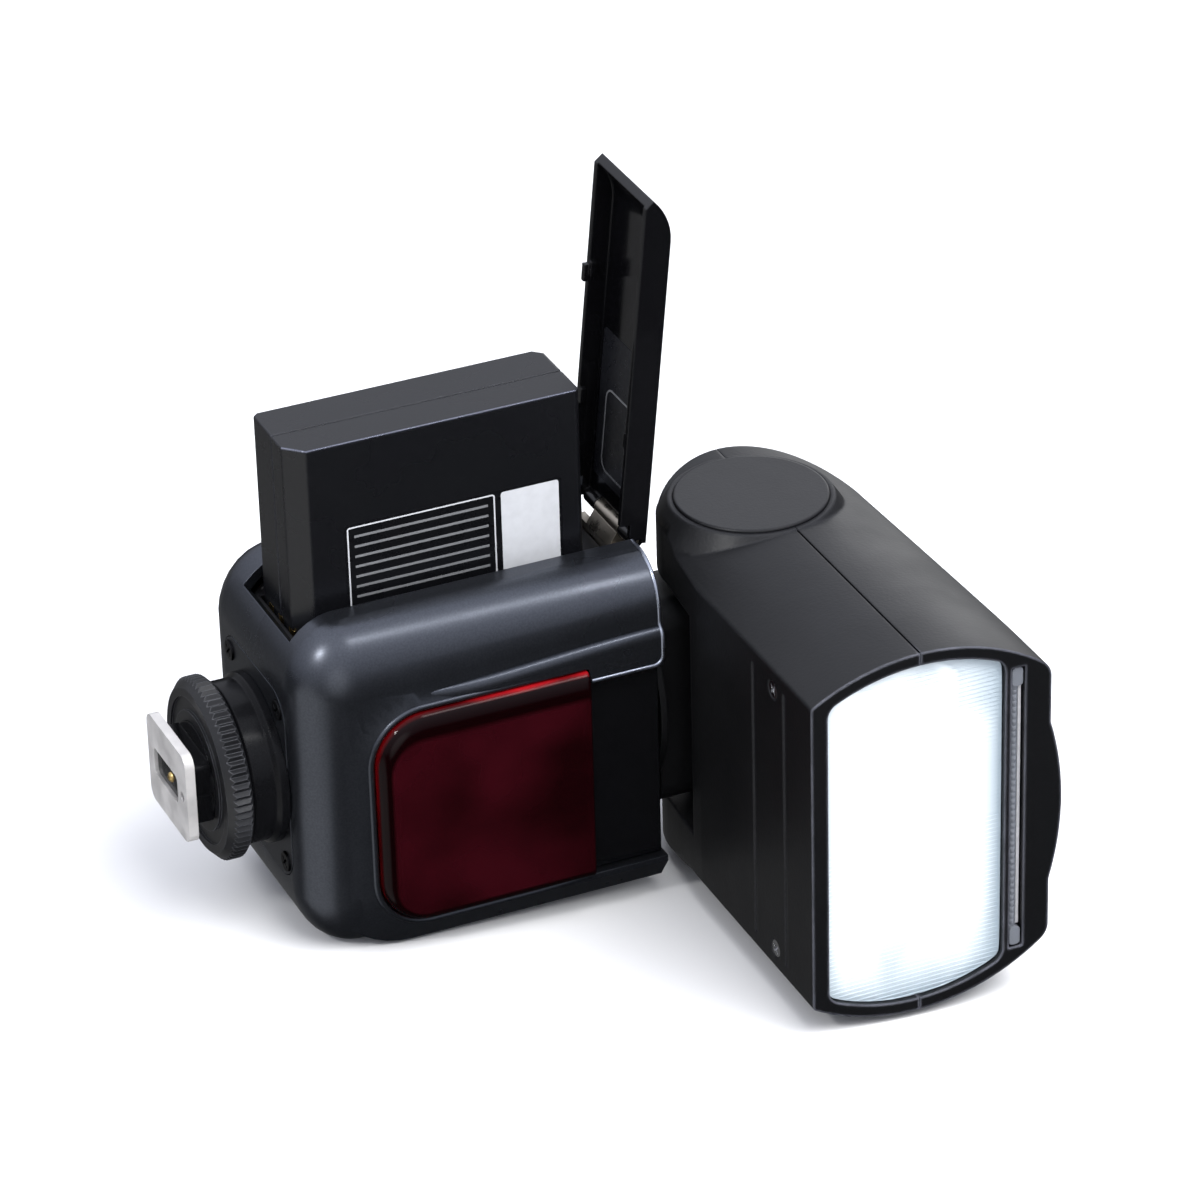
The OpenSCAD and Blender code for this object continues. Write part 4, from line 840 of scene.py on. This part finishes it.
class FLASH_OT_head(bpy.types.Operator):
    """Grained black head shells, caps, neck and turret"""

    bl_idname = "flash.head"
    bl_label = "Head and neck"

    def execute(self, context):
        finishes, details = settings(context)
        shells, caps = ["head_lower_shell", "head_upper_shell"], ["pivot_cap_upper", "pivot_cap_lower"]
        front = ("Y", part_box("head_lower_shell")[0].y + 1.2 * MM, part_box("fresnel_lens")[1].y)
        # Painted highlight: the front zone and the large edge factor draw bright lines on the bezel's edges
        edge = 2 * details.edge_round
        shell = moulded("head_plastic", finishes.head, 0.46, 1500.0, 0.03 * MM, edge, wear_and_highlight=55.0, lowest=0.6, zone=front)
        dress(shells, shell, crease=40.0)
        ease_edges(shells, 0.35 * MM)
        cap = moulded("cap_plastic", shade(finishes.head, 1.15), 0.4, 1900.0, 0.02 * MM, details.edge_round)
        dress(caps, cap, crease=40.0)
        ease_edges(caps, 0.4 * MM)
        # Painted shade: the neck's plastic is a tenth darker than the head's, where it sits between body and head
        neck = moulded("neck_plastic_shaded", shade(finishes.head, 0.9), 0.5, 1500.0, 0.03 * MM, details.edge_round)
        dress(["neck_block", "swivel_disc", "swivel_bearing"], neck)
        dark = printed("seam_shadow", (0.0010, 0.0010, 0.0012), 0.9, specular=0.05)
        for side, name in ((1, "head_seam_upper"), (-1, "head_seam_lower")):
            finish_piece(parting_line(name, side), dark, "head", crease=60.0)
        steel = bare_metal("turned_steel", (0.56, 0.56, 0.57), 0.28, (1.0, 1.0, 0.3), 0.15 * MM)
        dress(["tilt_pins", "swivel_clip", "head_screws"], steel)
        return {"FINISHED"}


class FLASH_OT_lens(bpy.types.Operator):
    """Frosted lens, the two panels above it and the zoom assembly behind it"""

    bl_idname = "flash.lens"
    bl_label = "Lens and zoom"

    def execute(self, context):
        finishes, details = settings(context)
        # Frosted lens with a painted glow
        frost_and_painted_glow = frosted_lens_painted_glow("lens_frost_painted_glow", finishes.lens, finishes.lens_shaded_border)
        dress(["fresnel_lens"], frost_and_painted_glow)
        lens = grooved_lens(details)
        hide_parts("fresnel_lens")
        finish_piece(lens, frost_and_painted_glow, "head", crease=20.0)
        panel = clear_plastic("panel_clear", (0.15, 0.16, 0.18), 0.2, 0.15, 0.2 * MM, 0.02 * MM)
        dress(["wide_panel"], panel)
        finish_piece(ribbed_edge(details), panel, "wide_panel")
        dress(["bounce_card"], moulded("card_white", (0.42, 0.42, 0.43), 0.55, 900.0, 0.01 * MM, 0.1 * MM))
        dress(["reflector"], bare_metal("mirror_metal", (0.86, 0.87, 0.88), 0.14, (1.0, 1.0, 0.2), 0.15 * MM))
        dress(["flash_tube"], clear_plastic("tube_glass", (0.95, 0.96, 0.98), 0.05, 0.9, 0.1 * MM))
        dress(["zoom_carriage"], moulded("carriage_plastic", finishes.head, 0.5, 900.0, 0.01 * MM, 0.2 * MM))
        steel = bare_metal("rod_steel", (0.6, 0.6, 0.61), 0.25, (1.0, 0.2, 1.0), 0.1 * MM)
        dress(["guide_rods", "zoom_screw", "zoom_motor"], steel)
        return {"FINISHED"}


class FLASH_OT_controls(bpy.types.Operator):
    """Rear display, keys, dial, switch, port cover and the boards inside"""

    bl_idname = "flash.controls"
    bl_label = "Rear controls"

    def execute(self, context):
        finishes, details = settings(context)
        dress(["lcd_window"], clear_plastic("display_cover", (0.9, 0.92, 0.9), 0.06, 0.9, 0.3 * MM))
        layer = moulded("display_layer", finishes.display, 0.5, 500.0, 0.002 * MM, 0.2 * MM, specular=0.4, wear_and_highlight=1.2)
        dress(["lcd_module"], layer)
        low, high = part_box("lcd_window")
        inset, corner, wide, sunk, lift = 0.05 * MM, 1.2 * MM, 2.2 * MM, 0.02 * MM, 0.06 * MM
        outline = (low.x + inset, high.x - inset, low.z + inset, high.z - inset, corner)
        border = flat_ring("display_border", *outline, wide, high.y - sunk, lift)
        finish_piece(border, printed("border_ink", (0.004, 0.004, 0.0045), 0.25), "main")
        keys = moulded("key_plastic", shade(finishes.battery, 0.9), 0.42, 1500.0, 0.02 * MM, details.edge_round)
        names = [f"function_key_{i}" for i in range(1, 5)] + ["set_button", "power_switch"]
        dress([*names, "select_dial"], keys, crease=40.0)
        ease_edges(names, 0.3 * MM)
        dress(["pilot_button"], clear_plastic("pilot_amber", (0.5, 0.05, 0.02), 0.2, 0.4, 0.3 * MM))
        rubber = moulded("flap_rubber", (0.012, 0.012, 0.012), 0.7, 1300.0, 0.04 * MM, 0.3 * MM, specular=0.3)
        dress(["port_cover"], rubber)
        dress(["port_block"], moulded("socket_plastic", (0.01, 0.01, 0.01), 0.4, 900.0, 0.01 * MM, 0.2 * MM))
        board = moulded("board_green", (0.02, 0.09, 0.04), 0.35, 700.0, 0.02 * MM, 0.15 * MM)
        dress(["main_board", "trigger_board"], board)
        self.mark_controls(finishes, details)
        return {"FINISHED"}

    def mark_controls(self, finishes, details):
        """Plain marks: ticks round the dial, a bar on each key and ribs on the switch."""
        ink = printed("control_ink", finishes.mark, 0.5)
        low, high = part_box("select_dial")
        middle, radius, tick = (low + high) / 2, 9.5 * MM, (0.3 * MM, 0.08 * MM, 1.2 * MM)
        turn = np.arange(details.dial_ticks) * 2 * math.pi / details.dial_ticks
        place = points(middle.x + radius * np.sin(turn), high.y, middle.z + radius * np.cos(turn))
        finish_piece(block_set("dial_ticks", place, tick, turn), ink, "dial")
        half_wide, half_long, corner, lift = 0.28 * MM, 1.7 * MM, 0.25 * MM, 0.06 * MM
        for i in range(1, 5):
            low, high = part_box(f"function_key_{i}")
            x, _, z = (low + high) / 2
            place = (x - half_wide, x + half_wide, z - half_long, z + half_long, corner)
            finish_piece(raised_plate(f"key_bar_{i}", *place, high.y, lift), ink, f"key_{i}")
        low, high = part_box("power_switch")
        middle, count, pitch, rib = (low + high) / 2, 4, 1.1 * MM, (0.45 * MM, 0.5 * MM, 3.6 * MM)
        place = points(middle.x + (np.arange(count) - (count - 1) / 2) * pitch, high.y, middle.z)
        ribs = block_set("switch_ribs", place, rib, np.zeros(count))
        finish_piece(ribs, NODES["power_switch"].data.materials[0], "power_switch")


class FLASH_OT_studio(bpy.types.Operator):
    """Camera, pale floor, soft lights and a white surround"""

    bl_idname = "flash.studio"
    bl_label = "Studio"

    def execute(self, context):
        studio = context.scene.flash_studio
        place_camera(context.scene, studio)
        lay_floor()
        body = (0.06, -0.02, 0.03)
        overhead = soft_box("overhead_light", (0.34, -0.50, 0.82), body, (1.0, 0.6), studio.key_power)
        overhead.visible_glossy = False
        soft_box("back_light", (0.80, 0.82, 0.18), (0.10, 0.0, 0.03), (0.6, 0.4), studio.back_power)
        soft_box("end_light", (0.367, -0.425, 0.773), body, (0.25, 0.12), studio.end_power)
        soft_box("corner_light", (-0.62, -0.40, 0.75), (0.03, -0.02, 0.02), (0.09, 0.09), studio.corner_power)
        context.scene.world = soft_surround(studio)
        context.scene.view_settings.view_transform = "Standard"
        return {"FINISHED"}


def soft_surround(studio):
    """Surround that brightens upwards, with pale cards low on the left and in front and a dim one low behind."""
    below, horizon, above = 0.47, 0.53, 0.9
    world = bpy.data.worlds.new("soft_surround")
    world.use_nodes = True
    tree = world.node_tree
    height = spread(tree, coordinate(tree, "Generated", "Z"), source=(-1.0, 1.0))
    ramp = add_node(tree, "ValToRGB", {"Fac": height})
    stops = ramp.color_ramp.elements
    stops[0].position, stops[1].position = below, above
    stops.new(horizon)
    for stop, light in zip(stops, studio.sky):
        stop.color = (*(light * tint for tint in SKY_TINT), 1.0)
    total = ramp.outputs["Color"]
    place = add_node(tree, "TexCoord", {}).outputs["Generated"]
    for towards, edge, light in CARDS:
        facing = vector_math(tree, "DOT_PRODUCT", place, towards)
        card = spread(tree, facing, 0.0, light, (edge, 0.5 + 0.5 * edge))
        total = vector_math(tree, "ADD", total, card)
    feed(tree, tree.nodes["Background"], {"Color": total})
    return world


def place_camera(scene, studio):
    """A camera at the photograph's angle, turned about its own axis and shifted to its framing."""
    a, e, r = studio.azimuth, studio.elevation, studio.roll
    back = Vector((math.sin(a) * math.cos(e), -math.cos(a) * math.cos(e), math.sin(e)))
    right = Vector((math.cos(a), math.sin(a), 0.0))
    up = back.cross(right)
    across = right * math.cos(r) + up * math.sin(r)
    above = up * math.cos(r) - right * math.sin(r)
    data = bpy.data.cameras.new("photo_camera")
    data.sensor_width = SENSOR
    data.lens = studio.lens
    data.shift_x, data.shift_y = studio.shift
    camera = bpy.data.objects.new("photo_camera", data)
    turn = Matrix((across, above, back)).transposed().to_4x4()
    camera.matrix_world = Matrix.Translation(Vector(studio.target) + back * studio.distance) @ turn
    scene.collection.objects.link(camera)
    scene.camera = camera


def lay_floor():
    """A wide plane that touches the body's lower side at the shoe end and the head's lower cap.

    Its height falls along X at a constant slope, z = z0 + slope (x - x0)."""
    body_low, head_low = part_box("rear_shell")[0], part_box("pivot_cap_lower")[0]
    corner_round, reach = 12 * MM, 4.0
    x0, z0 = body_low.x + corner_round, body_low.z
    slope = (head_low.z - z0) / (head_low.x - x0)
    corners = np.array([(-1, -1), (1, -1), (1, 1), (-1, 1)], float) * reach
    height = z0 + slope * (corners[:, 0] - x0)
    floor = mesh_object("floor", np.column_stack([corners, height]), [(0, 1, 2, 3)])
    white = (0.86, 0.86, 0.86)
    material, tree, shader = new_finish("floor_white", white, 0.6, specular=0.2)
    cloud = spread(tree, object_noise(tree, scale=3.0))
    tone = blend_colours(tree, cloud, (0.85, 0.85, 0.85), (0.87, 0.87, 0.87))
    feed(tree, shader, {"Base Color": tone})
    floor.data.materials.append(material)
    floor.visible_glossy = False


def soft_box(name, place, target, size, power):
    """A rectangular light that faces its target."""
    data = bpy.data.lights.new(name, "AREA")
    data.shape = "RECTANGLE"
    data.size, data.size_y = size
    data.energy = power
    light = bpy.data.objects.new(name, data)
    aim = (Vector(target) - Vector(place)).to_track_quat("-Z", "Y")
    light.matrix_world = Matrix.Translation(Vector(place)) @ aim.to_matrix().to_4x4()
    bpy.context.scene.collection.objects.link(light)
    return light


class FLASH_PT_looks(bpy.types.Panel):
    """Lists the steps and their settings"""

    bl_idname = "FLASH_PT_looks"
    bl_label = "Speedlight flash"
    bl_space_type = "VIEW_3D"
    bl_region_type = "UI"
    bl_category = "Flash"

    def draw(self, context):
        for operator in OPERATORS:
            self.layout.operator(operator.bl_idname)
        for group in (context.scene.flash_finishes, context.scene.flash_details, context.scene.flash_studio):
            for name in group.__annotations__:
                self.layout.prop(group, name)


GROUPS = {"flash_finishes": FlashFinishes, "flash_details": FlashDetails, "flash_studio": FlashStudio}
OPERATORS = (
    FLASH_OT_studio,
    FLASH_OT_body,
    FLASH_OT_window,
    FLASH_OT_foot,
    FLASH_OT_battery,
    FLASH_OT_head,
    FLASH_OT_lens,
    FLASH_OT_controls,
)


def register():
    for cls in (*GROUPS.values(), *OPERATORS, FLASH_PT_looks):
        bpy.utils.register_class(cls)
    for name, cls in GROUPS.items():
        setattr(bpy.types.Scene, name, PointerProperty(type=cls))


def unregister():
    for name in GROUPS:
        delattr(bpy.types.Scene, name)
    for cls in (FLASH_PT_looks, *reversed(OPERATORS), *reversed(list(GROUPS.values()))):
        bpy.utils.unregister_class(cls)


def main():
    register()
    for operator in OPERATORS:
        group, step = operator.bl_idname.split(".")
        getattr(getattr(bpy.ops, group), step)()


if __name__ == "__main__":
    main()
